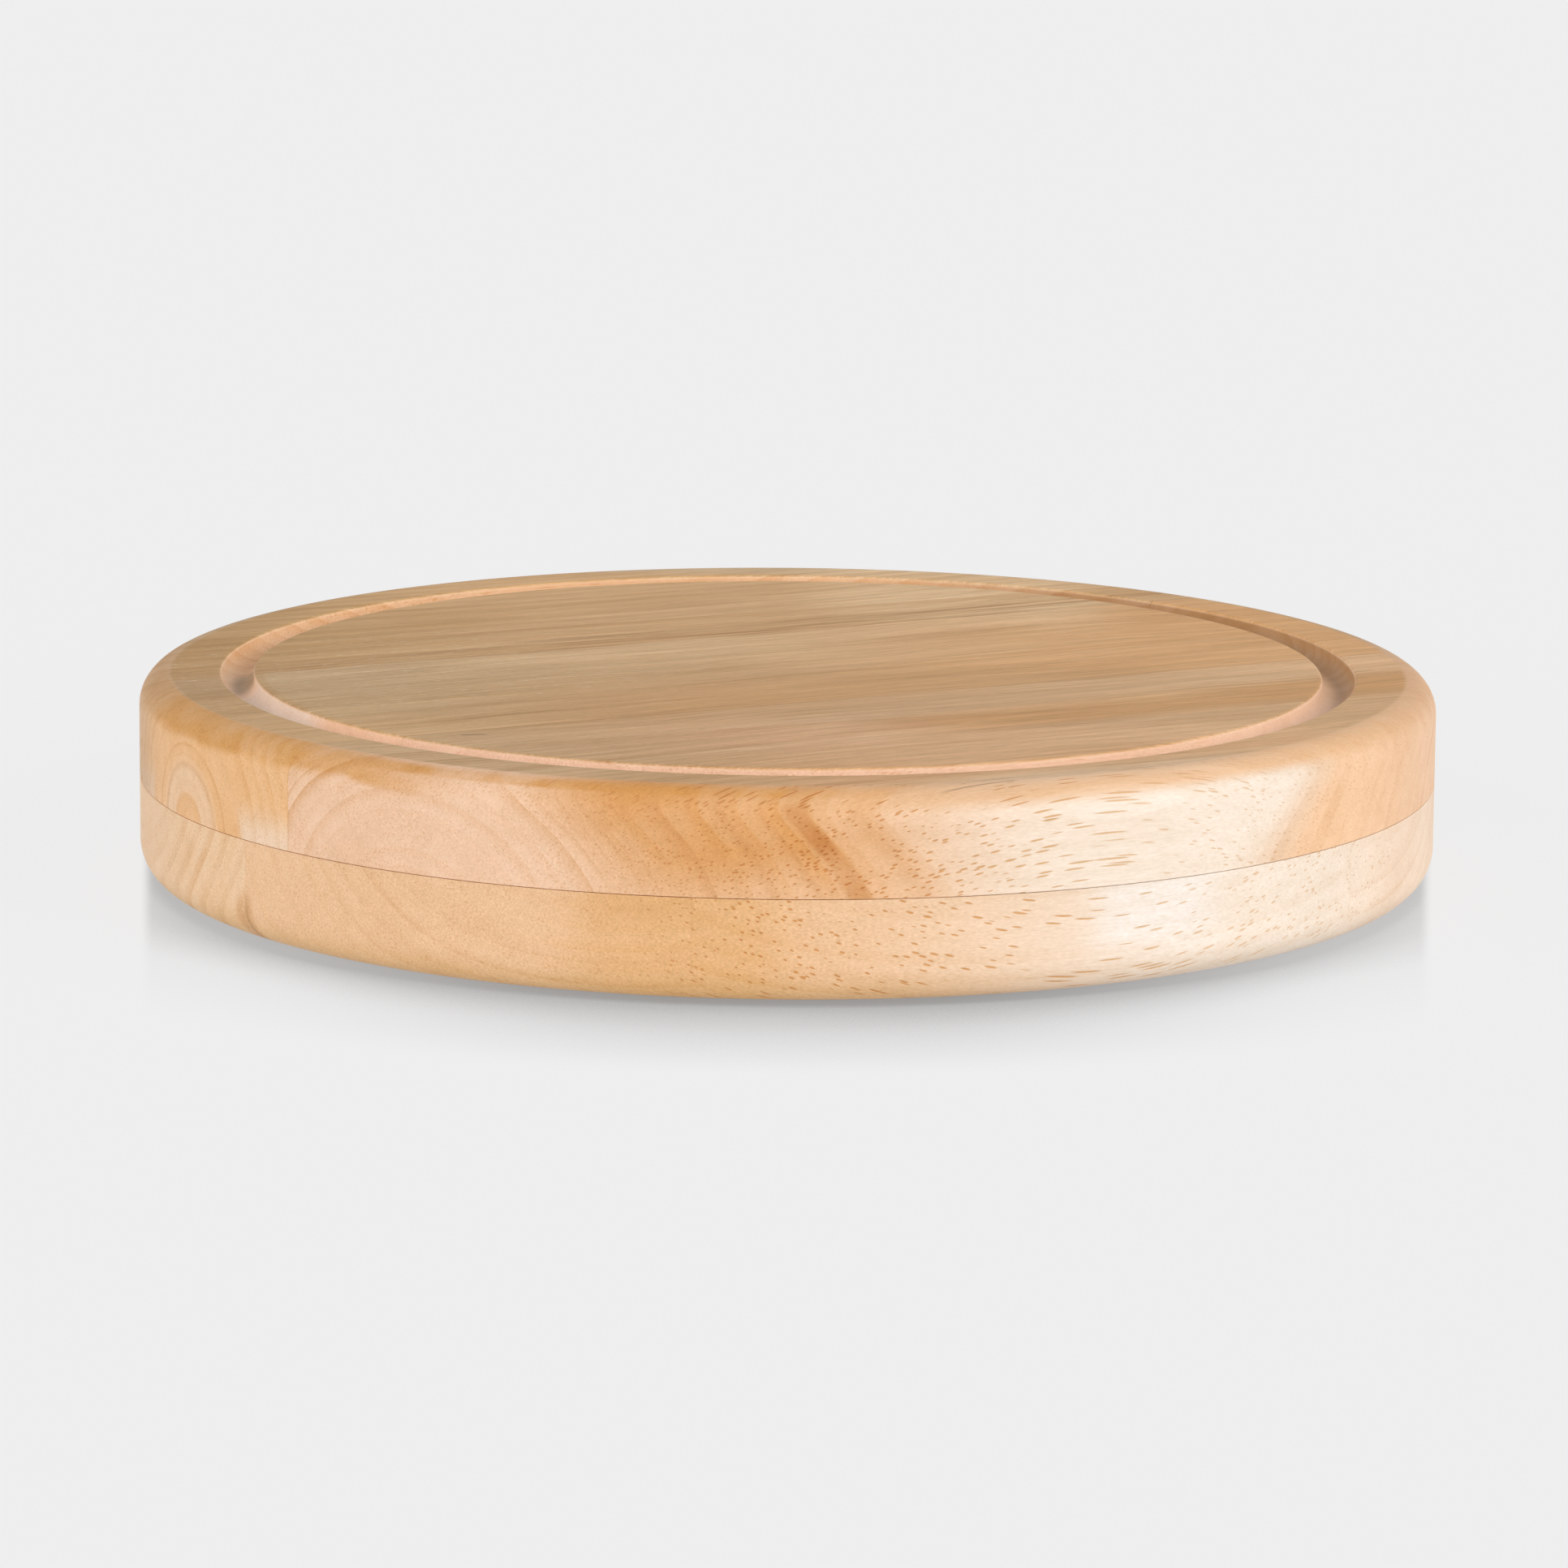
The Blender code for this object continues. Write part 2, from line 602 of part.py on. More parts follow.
def build_blade(tool, y, sides, parts, steel):
    """A stamped blade with its neck and tang, from its upper side, tip and lower side."""
    upper, tip, lower = sides
    seat = TOUCH_GAP
    tang = [(-TANG_LENGTH, TANG_WIDTH / 2, 0.0), (seat, TANG_WIDTH / 2, 0.0), (seat, NECK_WIDTH / 2, 0.0)]
    corners = tang + upper + tip
    corners += [(u, -v, radius) for u, v, radius in reversed(tang + lower)]
    outline = [(FERRULE_FRONT_X - u, y + v) for u, v in rounded(corners)]
    return flat_solid(tool + "_blade", outline, BLADE_BOTTOM, BLADE_TOP, parts, steel)


def grind_end(blade, y, width, cutters):
    """Grinds the blade's end to a cutting edge with a slope on its upper face."""
    slope = math.atan2(BLADE_THICKNESS - CUTTING_EDGE, GRIND_LENGTH)
    length = 4 * GRIND_LENGTH
    stone = box(
        blade.name + "_grind",
        (-length, -width, 0.0),
        (length, width, length),
        cutters,
    )
    stone.rotation_euler = (0.0, -slope, 0.0)
    stone.location = (FERRULE_FRONT_X - BLADE_LENGTH + GRIND_LENGTH, y, BLADE_TOP)
    combine(blade, stone)


def add_plane_slot(blade, y, cutters):
    """Cuts the slicer's slot and raises the lip beside it that lifts the slice."""
    middle = FERRULE_FRONT_X - PLANE_SLOT_PLACE
    half_gap, half_length = PLANE_SLOT_WIDTH / 2, PLANE_SLOT_LENGTH / 2
    slot = box(
        "plane_slot",
        (middle - half_gap, y - half_length, BLADE_BOTTOM - CUT_OVERRUN),
        (middle + half_gap, y + half_length, BLADE_TOP + CUT_OVERRUN),
        cutters,
    )
    combine(blade, slot)
    tilt = math.atan2(PLANE_LIP_RISE, PLANE_LIP_LENGTH)
    lip = box(
        "plane_lip",
        (-PLANE_LIP_LENGTH, -half_length, -BLADE_THICKNESS / 2),
        (half_gap, half_length, 0.0),
        cutters,
    )
    lip.rotation_euler = (0.0, -tilt, 0.0)
    lip.location = (middle - half_gap, y, BLADE_TOP + PLANE_LIP_RISE)
    combine(blade, lip, "UNION")


def tray_layout():
    """The four tools side by side, at one pitch that leaves a wall between the widest neighbours."""
    tools = [
        {"name": "chisel_knife", "sides": chisel_sides(), "shoulder": CHISEL_SHOULDER},
        {"name": "fork_knife", "sides": fork_sides(), "shoulder": FORK_SHOULDER},
        {"name": "cheese_plane", "sides": plane_sides(), "shoulder": PLANE_SHOULDER},
        {"name": "spade_knife", "sides": spade_sides(), "shoulder": SPADE_SHOULDER},
    ]
    for tool in tools:
        corners = [corner for side in tool["sides"] for corner in side]
        tool["half_width"] = max(v for _, v, _ in corners)
        tool["room"] = max(tool["half_width"], HANDLE_WIDTH / 2) + POCKET_CLEAR
    pitch = max(a["room"] + b["room"] for a, b in zip(tools, tools[1:])) + TRAY_WALL
    for i, tool in enumerate(tools):
        tool["y"] = (i - (len(tools) - 1) / 2) * pitch
    return tools


def build_tool(tool, parts, cutters, wood, steel):
    name, y = tool["name"], tool["y"]
    handle = build_handle(name, y, parts, cutters, wood)
    ferrule = build_ferrule(name, y, parts, cutters, steel)
    blade = build_blade(name, y, tool["sides"], parts, steel)
    if name == "chisel_knife":
        grind_end(blade, y, CHISEL_WIDTH, cutters)
    if name == "cheese_plane":
        add_plane_slot(blade, y, cutters)
    origin = joint_origin(name + "_lift", (FERRULE_FRONT_X, y, HANDLE_AXIS), parts)
    carry(origin, [handle, ferrule, blade])


def main():
    clear_scene()
    parts = new_collection("cheese_board")
    cutters = new_collection("cutters", hidden=True)
    wood = material("rubberwood", RUBBERWOOD)
    handle_wood = material("handle_rubberwood", RUBBERWOOD_DARK)
    steel = material("stainless_steel", STAINLESS)
    brass = material("brass", BRASS)
    nylon = material("nylon", NYLON)

    tools = tray_layout()
    upper_board = build_upper_board(parts, cutters, wood)
    build_lower_board(parts, cutters, wood, tools)
    bolt = build_pivot_bolt(parts, cutters, steel)
    insert = build_insert(parts, brass)
    build_bushing(parts, brass)
    build_washer(
        "glide_washer", BUSHING_BORE, FLANGE_RADIUS, GLIDE_WASHER_BOTTOM, GLIDE_WASHER_THICKNESS, parts, nylon
    )
    build_washer(
        "bolt_washer",
        BUSHING_BORE,
        BOLT_WASHER_RADIUS,
        BOLT_WASHER_BOTTOM,
        BOLT_WASHER_THICKNESS,
        parts,
        steel,
    )
    for tool in tools:
        build_tool(tool, parts, cutters, handle_wood, steel)

    swivel = joint_origin("lid_swivel", (0.0, PIVOT_Y, 0.0), parts)
    carry(swivel, [upper_board, insert, bolt])


main()
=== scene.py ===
"""The looks of a round swivel cheese board.

It is two oiled rubberwood discs on a rim pivot, with four cheese tools in a tray between them. Metres, +Z up.
The origin is the centre of the underside, the pivot stands at +Y, and the tools lie along X with their tips
towards -X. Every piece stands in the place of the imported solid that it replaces.
"""

import collections
import math
import types

import bmesh
import bpy
import numpy as np
from mathutils import Euler, Matrix, Vector


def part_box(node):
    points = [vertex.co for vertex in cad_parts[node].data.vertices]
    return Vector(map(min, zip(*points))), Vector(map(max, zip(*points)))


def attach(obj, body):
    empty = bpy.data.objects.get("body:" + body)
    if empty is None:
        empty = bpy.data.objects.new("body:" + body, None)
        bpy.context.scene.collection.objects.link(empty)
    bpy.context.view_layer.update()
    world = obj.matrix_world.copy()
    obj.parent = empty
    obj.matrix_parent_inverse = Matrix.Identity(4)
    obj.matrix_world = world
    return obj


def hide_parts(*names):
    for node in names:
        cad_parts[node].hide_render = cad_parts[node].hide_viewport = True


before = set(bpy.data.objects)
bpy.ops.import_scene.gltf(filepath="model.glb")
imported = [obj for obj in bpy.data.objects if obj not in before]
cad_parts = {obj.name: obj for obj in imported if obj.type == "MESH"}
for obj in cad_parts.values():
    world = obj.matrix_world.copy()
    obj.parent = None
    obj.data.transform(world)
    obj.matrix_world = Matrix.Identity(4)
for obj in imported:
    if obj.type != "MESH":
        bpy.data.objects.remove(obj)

bl_info = {
    "name": "Swivel cheese board",
    "version": (1, 0, 0),
    "blender": (4, 5, 0),
    "location": "3D View > Sidebar > Cheese board",
    "description": "Builds the pieces and finishes of a round swivel cheese board with four tools",
    "category": "Object",
}

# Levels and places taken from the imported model
UPPER_LOW, UPPER_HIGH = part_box("upper_board")
BOARD_RADIUS = UPPER_HIGH.x
LOWER_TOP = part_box("lower_board")[1].z
UPPER_BOTTOM = UPPER_LOW.z
UPPER_TOP = UPPER_HIGH.z
BOLT_LOW, BOLT_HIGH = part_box("pivot_bolt")
PIVOT_Y = (BOLT_LOW.y + BOLT_HIGH.y) / 2
INSERT_LOW, INSERT_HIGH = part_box("threaded_insert")
TOOLS = ("chisel_knife", "fork_knife", "cheese_plane", "spade_knife")

# Sizes of the boards and the tray, as in the part
TOUCH_GAP = 0.0003
GROOVE_INNER = 0.10605
GROOVE_OUTER = 0.11405
GROOVE_LIP = 0.0008
POCKET_CLEAR = 0.0015
TRAY_FLOOR = 0.0050
FINGER_FLOOR = 0.0065
FINGER_WIDTH = 0.0280
FINGER_REACH = 0.0725

# Sizes of the pivot, as in the part
HEAD_BOTTOM = 0.0005
HEAD_TOP = 0.0035
HEAD_RADIUS = 0.0075
SOCKET_RADIUS = 0.0029
SOCKET_DEPTH = 0.0018
SHOULDER_RADIUS = 0.0040
THREAD_RADIUS = 0.0030
BUSHING_BORE = 0.0043
BUSHING_RADIUS = 0.0055
FLANGE_RADIUS = 0.0088
FLANGE_BOTTOM = 0.01765
FLANGE_TOP = 0.01885
COUNTERBORE_RADIUS = 0.0085
COUNTERBORE_FLOOR = 0.0051
INSERT_BORE = 0.0033
INSERT_RADIUS = 0.0053
INSERT_BARBS = 3
BARB_DEPTH = 0.0004

# Sizes of the tools, as in the part
HANDLE_LENGTH = 0.0780
HANDLE_WIDTH = 0.0180
HANDLE_THICKNESS = 0.0130
HANDLE_NECK = 0.0124
HANDLE_FULLEST = 0.0520
BUTT_FULLNESS = 2.6
TENON_LENGTH = 0.0080
TENON_RADIUS = 0.0049
FERRULE_LENGTH = 0.0100
FERRULE_INNER = 0.0052
FERRULE_NOSE = 0.0052
FERRULE_NOSE_ROUND = 0.0008
BLADE_THICKNESS = 0.0015
BLADE_LENGTH = 0.0620
TANG_LENGTH = 0.0320
TANG_WIDTH = 0.0050
NECK_LENGTH = 0.0080
NECK_HALF = 0.0035
CUTTING_EDGE = 0.0004
GRIND_LENGTH = 0.0070
CHISEL_SHOULDER = 0.0240
CHISEL_HALF = 0.0130
FORK_SHOULDER = 0.0150
FORK_HALF = 0.0075
PRONG_RISE = 0.0015
PLANE_SHOULDER = 0.0160
PLANE_HALF = 0.0140
PLANE_SLOT_START = 0.0305
PLANE_SLOT_END = 0.0335
PLANE_SLOT_HALF = 0.0095
PLANE_LIP_LENGTH = 0.0050
PLANE_LIP_RISE = 0.0012
SPADE_SHOULDER = 0.0160
SPADE_CHEEK = 0.0360
SPADE_HALF = 0.0120
BUTT_X = (HANDLE_LENGTH + FERRULE_LENGTH + BLADE_LENGTH) / 2
FERRULE_BACK_X = BUTT_X - HANDLE_LENGTH
FERRULE_FRONT_X = FERRULE_BACK_X - FERRULE_LENGTH
HANDLE_AXIS = TRAY_FLOOR + TOUCH_GAP + HANDLE_THICKNESS / 2
BLADE_BOTTOM = HANDLE_AXIS - BLADE_THICKNESS / 2
BLADE_TOP = HANDLE_AXIS + BLADE_THICKNESS / 2

# Fine shapes that only the finished pieces have
SEAM_EASE = 0.0001
SEAM_LIP = 0.0001
SEAM_LIP_WIDTH = 0.0030
MOUTH_EASE = 0.0003
COUNTERBORE_EASE = 0.0004
TURNED_EASE = 0.0002
THREAD_DEPTH = 0.00055
THREAD_TAPER = 0.0005
BORE_THREAD_DEPTH = 0.0004
KNURL_DEPTH = 0.00012
CRIMP_DEPTH = 0.00022
CRIMP_WIDTH = 0.0004
GRIND_RUN = 0.004
SHARP_ANGLE = math.radians(35.0)

# Steps of the turned pieces, and how far a cutter passes the face that it cuts
BOARD_STEPS = 384
TURNED_STEPS = 96
THREAD_STEPS = 64
THREAD_ROWS = 14
CUT_OVERRUN = 0.003

# Camera, set to the photograph's view
CAMERA_PLACE = (0.0, -1.51795, 0.31088)
CAMERA_PITCH = math.radians(10.959)
CAMERA_YAW = math.radians(-0.0235)
CAMERA_ROLL = math.radians(0.461)
CAMERA_LENS = 176.68


# Sizes and colours that a user may change


def length_property(name, description, default):
    """A length that a user may change."""
    return bpy.props.FloatProperty(name=name, description=description, default=default, unit="LENGTH")


def colour_property(name, description, default):
    """A colour that a user may change, as linear red, green and blue."""
    return bpy.props.FloatVectorProperty(
        name=name, description=description, default=default, subtype="COLOR", size=3, min=0.0, max=1.0
    )


class CheeseBoardSizes(bpy.types.PropertyGroup):
    """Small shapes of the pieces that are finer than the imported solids."""

    top_round: length_property("Top edge", "Rounding of the upper board's top edge", 0.0064)
    bottom_round: length_property("Bottom edge", "Rounding of the lower board's bottom edge", 0.0074)
    groove_depth: length_property("Groove depth", "Depth of the juice groove", 0.0038)
    pocket_ease: length_property("Pocket edge", "Rounding of the pockets' upper edges", 0.0006)
    pocket_fillet: length_property("Pocket floor", "Rounding of the pockets' floors", 0.0010)
    thread_pitch: length_property("Thread pitch", "Rise of the pivot's thread in a turn", 0.0010)


class CheeseBoardColours(bpy.types.PropertyGroup):
    """The colours of the woods and metals."""

    wood_deep: colour_property("Deep wood", "Wood in the darker growth rings", (0.76, 0.42, 0.17))
    wood_pale: colour_property("Pale wood", "The palest sapwood", (0.95, 0.80, 0.66))
    wood_pink: colour_property("Pink wood", "The pinkish wood near the pith", (0.92, 0.60, 0.40))
    wood_ring: colour_property("Ring lines", "Tint of growth rings and glued joints", (0.78, 0.60, 0.38))
    wood_face: colour_property("Face tint", "Tint of the faces, which hold more oil", (0.895, 0.805, 0.615))
    wood_pore: colour_property("Pores", "Tint of the vessels, which hold the oil", (0.80, 0.57, 0.33))
    handle: colour_property("Handle wood", "The handles' darker rubberwood", (0.70, 0.40, 0.19))
    steel: colour_property("Steel", "Brushed stainless steel", (0.74, 0.735, 0.72))
    brass: colour_property("Brass", "Turned brass", (0.78, 0.57, 0.25))
    nylon: colour_property("Nylon", "The glide washer's nylon", (0.82, 0.80, 0.73))


# Materials, which work in millimetres

MILLIMETRES = 1000.0

# How far noise bends the rings, how far a stave's marks reach, a mark's sharp end and its rise's power
RING_SWAY = 1.6
RING_REACH = 80.0
RING_END = 0.3
RING_RISE = 4.5


class Value:
    """A number in a material; the signs + - * / ** and > on it add Math nodes."""

    def __init__(self, paint, socket):
        self.paint = paint
        self.socket = socket

    def __add__(self, other):
        return self.paint.math("ADD", self, other)

    def __sub__(self, other):
        return self.paint.math("SUBTRACT", self, other)

    def __mul__(self, other):
        return self.paint.math("MULTIPLY", self, other)

    def __truediv__(self, other):
        return self.paint.math("DIVIDE", self, other)

    def __pow__(self, other):
        return self.paint.math("POWER", self, other)

    def __rsub__(self, other):
        return self.paint.math("SUBTRACT", other, self)

    def __gt__(self, other):
        return self.paint.math("GREATER_THAN", self, other)

    __radd__ = __add__
    __rmul__ = __mul__


class Paint:
    """One material and the nodes that work out its colour, roughness and bump."""

    def __init__(self, name, tree=None):
        if tree is None:
            self.material = bpy.data.materials.new(name)
            self.material.use_nodes = True
            tree = self.material.node_tree
        self.tree = tree
        tree.nodes.clear()

    def node(self, kind, settings=None, inputs=None, stops=None):
        """Adds a node: its settings and ramp stops first, then the values or links of its sockets."""
        made = self.tree.nodes.new(kind)
        for key, value in (settings or {}).items():
            setattr(made, key, value)
        if stops:
            ramp = made.color_ramp
            while len(ramp.elements) < len(stops):
                ramp.elements.new(0.5)
            for element, (place, colour) in zip(ramp.elements, stops):
                element.position = place
                element.color = (*colour, 1.0)
        for key, value in (inputs or {}).items():
            socket = made.inputs[key]
            if isinstance(value, Value):
                self.tree.links.new(value.socket, socket)
            elif isinstance(value, bpy.types.NodeSocket):
                self.tree.links.new(value, socket)
            elif socket.type == "RGBA" and len(value) == 3:
                socket.default_value = (*value, 1.0)
            else:
                socket.default_value = value
        return made

    def math(self, operation, *values):
        made = self.node("ShaderNodeMath", {"operation": operation}, dict(enumerate(values)))
        return Value(self, made.outputs[0])

    def smooth(self, value, low, high):
        """0 below low, 1 above high and a smooth S between; low above high turns it round."""
        made = self.node(
            "ShaderNodeMapRange",
            {"interpolation_type": "SMOOTHSTEP"},
            {"Value": value, "From Min": low, "From Max": high},
        )
        return Value(self, made.outputs["Result"])

    def between(self, value, low, high, soft):
        """1 from low to high, falling smoothly to 0 over the soft width outside."""
        return self.smooth(value, low - soft, low) * self.smooth(value, high + soft, high)

    def vector(self, x, y, z):
        return self.node("ShaderNodeCombineXYZ", None, {0: x, 1: y, 2: z}).outputs[0]

    def noise(self, x, y, z, detail=2.0, roughness=0.5):
        """Soft noise about 0.5 at a place, where one blot is about 1 wide."""
        inputs = {"Vector": self.vector(x, y, z), "Scale": 1.0, "Detail": detail, "Roughness": roughness}
        made = self.node("ShaderNodeTexNoise", {"noise_dimensions": "3D"}, inputs)
        return Value(self, made.outputs["Fac"])

    def cells(self, x, y, z):
        """Distance to the nearest of the points scattered one in a cell."""
        inputs = {"Vector": self.vector(x, y, z), "Scale": 1.0, "Randomness": 0.88}
        made = self.node("ShaderNodeTexVoronoi", {"feature": "F1"}, inputs)
        return Value(self, made.outputs["Distance"])

    def chance(self, value):
        """One random number from 0 to 1 for each whole number."""
        made = self.node("ShaderNodeTexWhiteNoise", {"noise_dimensions": "1D"}, {"W": value})
        return Value(self, made.outputs["Value"])

    def mix(self, share, first, second, blend="MIX"):
        """A colour from the first to the second as share goes from 0 to 1."""
        made = self.node(
            "ShaderNodeMix",
            {"data_type": "RGBA", "blend_type": blend, "clamp_factor": True},
            {0: share, 6: first, 7: second},
        )
        return made.outputs[2]

    def scaled(self, colour, value):
        """The colour times a number."""
        made = self.node("ShaderNodeVectorMath", {"operation": "SCALE"}, {0: colour, 3: value})
        return made.outputs[0]

    def toned(self, colour, change):
        """The colour lighter or darker by a share; blue changes most, so that darker is warmer too."""
        shares = self.vector(1.0 + change * 0.75, 1.0 + change, 1.0 + change * 1.45)
        made = self.node("ShaderNodeVectorMath", {"operation": "MULTIPLY"}, {0: colour, 1: shares})
        return made.outputs[0]

    def place(self):
        """The point's x, y and z on the piece, in millimetres."""
        coordinates = self.node("ShaderNodeTexCoord")
        place = self.scaled(coordinates.outputs["Object"], MILLIMETRES)
        split = self.node("ShaderNodeSeparateXYZ", None, {0: place})
        return [Value(self, socket) for socket in split.outputs]

    def pivot_radius(self, x, y):
        """The distance from the pivot's axis."""
        aside = y - PIVOT_Y * MILLIMETRES
        return self.math("SQRT", x * x + aside * aside)

    def bump(self, height, distance):
        """A normal from a height in 0 to 1 and the depth, in metres, that 1 stands for."""
        made = self.node("ShaderNodeBump", None, {"Height": height, "Distance": distance, "Strength": 1.0})
        return made.outputs[0]

    def finish(self, **sockets):
        """Ends the material in a Principled BSDF with these sockets, spaces written as underscores."""
        inputs = {key.replace("_", " "): value for key, value in sockets.items()}
        shader = self.node("ShaderNodeBsdfPrincipled", None, inputs)
        self.node("ShaderNodeOutputMaterial", None, {"Surface": shader.outputs[0]})
        return self.material


def growth_rings(paint, u, v, w, pith_v, pith_w, spacing, seed):
    """Distance from the pith, and the shade of the year's late wood there, 0 to 1.

    The distance is sqrt((v - pith_v)^2 + (w - pith_w)^2) + 0.02 u, bent by slow noise. Its share of a year
    rises softly and drops at the ring's edge; every year has a strength of its own.
    """
    bent = (paint.noise(u / 90.0, v / 24.0, w / 24.0, detail=1.0) - 0.5) * RING_SWAY
    across = v - pith_v + bent
    up = w - pith_w + bent * 0.5
    distance = paint.math("SQRT", across * across + up * up) + u * 0.02
    year = distance / spacing + seed
    whole = paint.math("FLOOR", year)
    part = year - whole
    strength = paint.chance(whole)
    late = paint.smooth(part, 0.25, 0.92) * paint.smooth(part, 1.0, 0.94)
    return distance, late * (0.25 + 0.75 * strength)


def ring_marks(paint, distance, rings):
    """The shade of a stave's strongest rings, each (radius, shade, width).

    A ring is a slow rise, a plateau of its width and a sharp end.
    """
    if not rings:
        return 0.0
    stops = [(0.0, (0.0, 0.0, 0.0))]
    for radius, shade, width in rings:
        level = (shade ** (1 / RING_RISE),) * 3
        if width:
            stops.append(((radius - width) / RING_REACH, level))
        stops.append((radius / RING_REACH, level))
        stops.append(((radius + RING_END) / RING_REACH, (0.0, 0.0, 0.0)))
    ramp = paint.node("ShaderNodeValToRGB", None, {0: distance / RING_REACH}, stops)
    return Value(paint, ramp.outputs[0]) ** RING_RISE


def vessel_pores(paint, u, v, w, bend, cell, length, size):
    """How much of a vessel is open at the point, 0 to 1: fine long tubes along a slightly bent grain.

    The tubes follow w = const + bend * 40 mm * (sqrt(1 + (u / 40 mm)^2) - 1). One starts in each cell of
    length by cell by cell, and its radius is the size times the cell, more where slow noise crowds them.
    """
    reach = 40.0
    rise = (paint.math("SQRT", 1.0 + (u / reach) * (u / reach)) - 1.0) * (bend * reach)
    level = w - rise
    crowd = paint.noise(u / 45.0, v / 6.0, level / 6.0, detail=1.0)
    distance = paint.cells(u / length, v / cell, level / cell)
    limit = size * (0.75 + 0.50 * paint.smooth(crowd, 0.30, 0.70))
    return paint.smooth(distance, limit, limit * 0.6)


Stave = collections.namedtuple("Stave", "colour pith_v pith_w lean late early seed rings")


def tint(name, colour, share, parts="", shape=None, **limits):
    """A place where a board's wood is paler, pinker or deeper, or holds painted light or shade: its colour,
    its share and its mask's factors.

    The parts are names in the spot, such as edge or face, and the shape is a function of paint and spot.
    A limit on one of the spot's measures goes smoothly from 0 at its first value to 1 at its second. With
    three values it is 1 from the first to the second and falls to 0 over the third, on both sides. With
    four it rises over the first two and falls over the last two.
    """
    return types.SimpleNamespace(
        name=name, colour=colour, share=share, parts=parts.split(), shape=shape, limits=limits
    )


def limited(paint, value, limit):
    """The factor that a tint's limit gives."""
    if len(limit) == 2:
        return paint.smooth(value, *limit)
    if len(limit) == 3:
        return paint.between(value, *limit)
    return paint.smooth(value, limit[0], limit[1]) * paint.smooth(value, limit[3], limit[2])


def tinted(paint, colours, spot, colour, place):
    """The colour with one tint laid over it; a tint's colour may be the name of one that a user sets."""
    factors = [getattr(spot, part) for part in place.parts]
    factors += [limited(paint, getattr(spot, key), limit) for key, limit in place.limits.items()]
    if place.shape:
        factors.append(place.shape(paint, spot))
    mask = place.share
    for factor in factors:
        mask = factor * mask
    shade = getattr(colours, place.colour) if isinstance(place.colour, str) else place.colour
    colour = paint.mix(mask, colour, shade)
    colour.node.label = place.name
    return colour


def board_spot(paint, board):
    """A point of a board, in millimetres: its places and measures, and the parts of the board that it is in.

    x, y and radius are about the board's axis, u is along the grain and v across it, w is up, across holds
    the distances past the glued joints, and joints holds 1 for each joint that the point is past.
    """
    x, y, w = paint.place()
    turn = math.radians(board["turn"])
    u = x * math.cos(turn) + y * math.sin(turn)
    v = y * math.cos(turn) - x * math.sin(turn)
    across = [v - joint - lean * u for joint, lean in board["joints"]]
    joints = [side > 0.0 for side in across]
    radius = paint.math("SQRT", x * x + y * y)
    inward = BOARD_RADIUS * MILLIMETRES - radius
    top = board["top"] * MILLIMETRES
    edge = paint.smooth(inward, 6.8, 5.6)
    face = paint.smooth(w, top - 0.4, top - 0.1) * paint.smooth(inward, *board["face_starts"])
    inset = 0.45
    inner, outer = GROOVE_INNER * MILLIMETRES + inset, GROOVE_OUTER * MILLIMETRES - inset
    groove = paint.between(radius, inner, outer, 0.5) * paint.smooth(w, top - 0.1, top - 0.7)
    return types.SimpleNamespace(
        x=x, y=y, u=u, v=v, w=w, radius=radius, across=across, joints=joints,
        front=1.0 - joints[0], middle=joints[0] * (1.0 - joints[1]), edge=edge, face=face, groove=groove,
    )


def by_stave(spot, values):
    """The value of the stave that the point is in, the first being the lowest v."""
    total = values[0]
    for past, before, after in zip(spot.joints, values, values[1:]):
        total = total + past * (after - before)
    return total


def board_grain(paint, u, v, w):
    """Five noises drawn out along the grain, from the broadest to the finest."""
    waved = v + (paint.noise(u / 60.0, v / 50.0, w / 50.0, detail=1.0) - 0.5) * 9.0
    return types.SimpleNamespace(
        broad=paint.noise(u / 100.0, waved / 16.0, w / 16.0, detail=3.0, roughness=0.55),
        streak=paint.noise(u / 75.0, waved / 3.0, w / 3.0, detail=3.0, roughness=0.6),
        lines=paint.noise(u / 30.0, waved / 0.7, w / 0.7, detail=3.0, roughness=0.6),
        fibre=paint.noise(u / 5.5, v / 0.28, w / 0.28, roughness=0.6),
        speckle=paint.noise(u / 1.2, v / 0.34, w / 0.34, detail=1.0),
    )


def grain_change(paint, board, spot, grain):
    """How much lighter or darker the grain makes a point, plainer on the face."""
    face = spot.face
    change = (grain.streak - 0.5) * (board["streak"] * (0.35 + 0.90 * face))
    change = change + (grain.broad - 0.5) * (0.20 + 0.30 * face)
    change = change + (grain.lines - 0.5) * (0.12 + 0.80 * face)
    change = change + (grain.fibre - 0.5) * (0.26 + 0.50 * face)
    return change + (grain.speckle - 0.5) * board["grit"] * (1.0 - 0.5 * paint.smooth(spot.u, -75.0, -5.0))


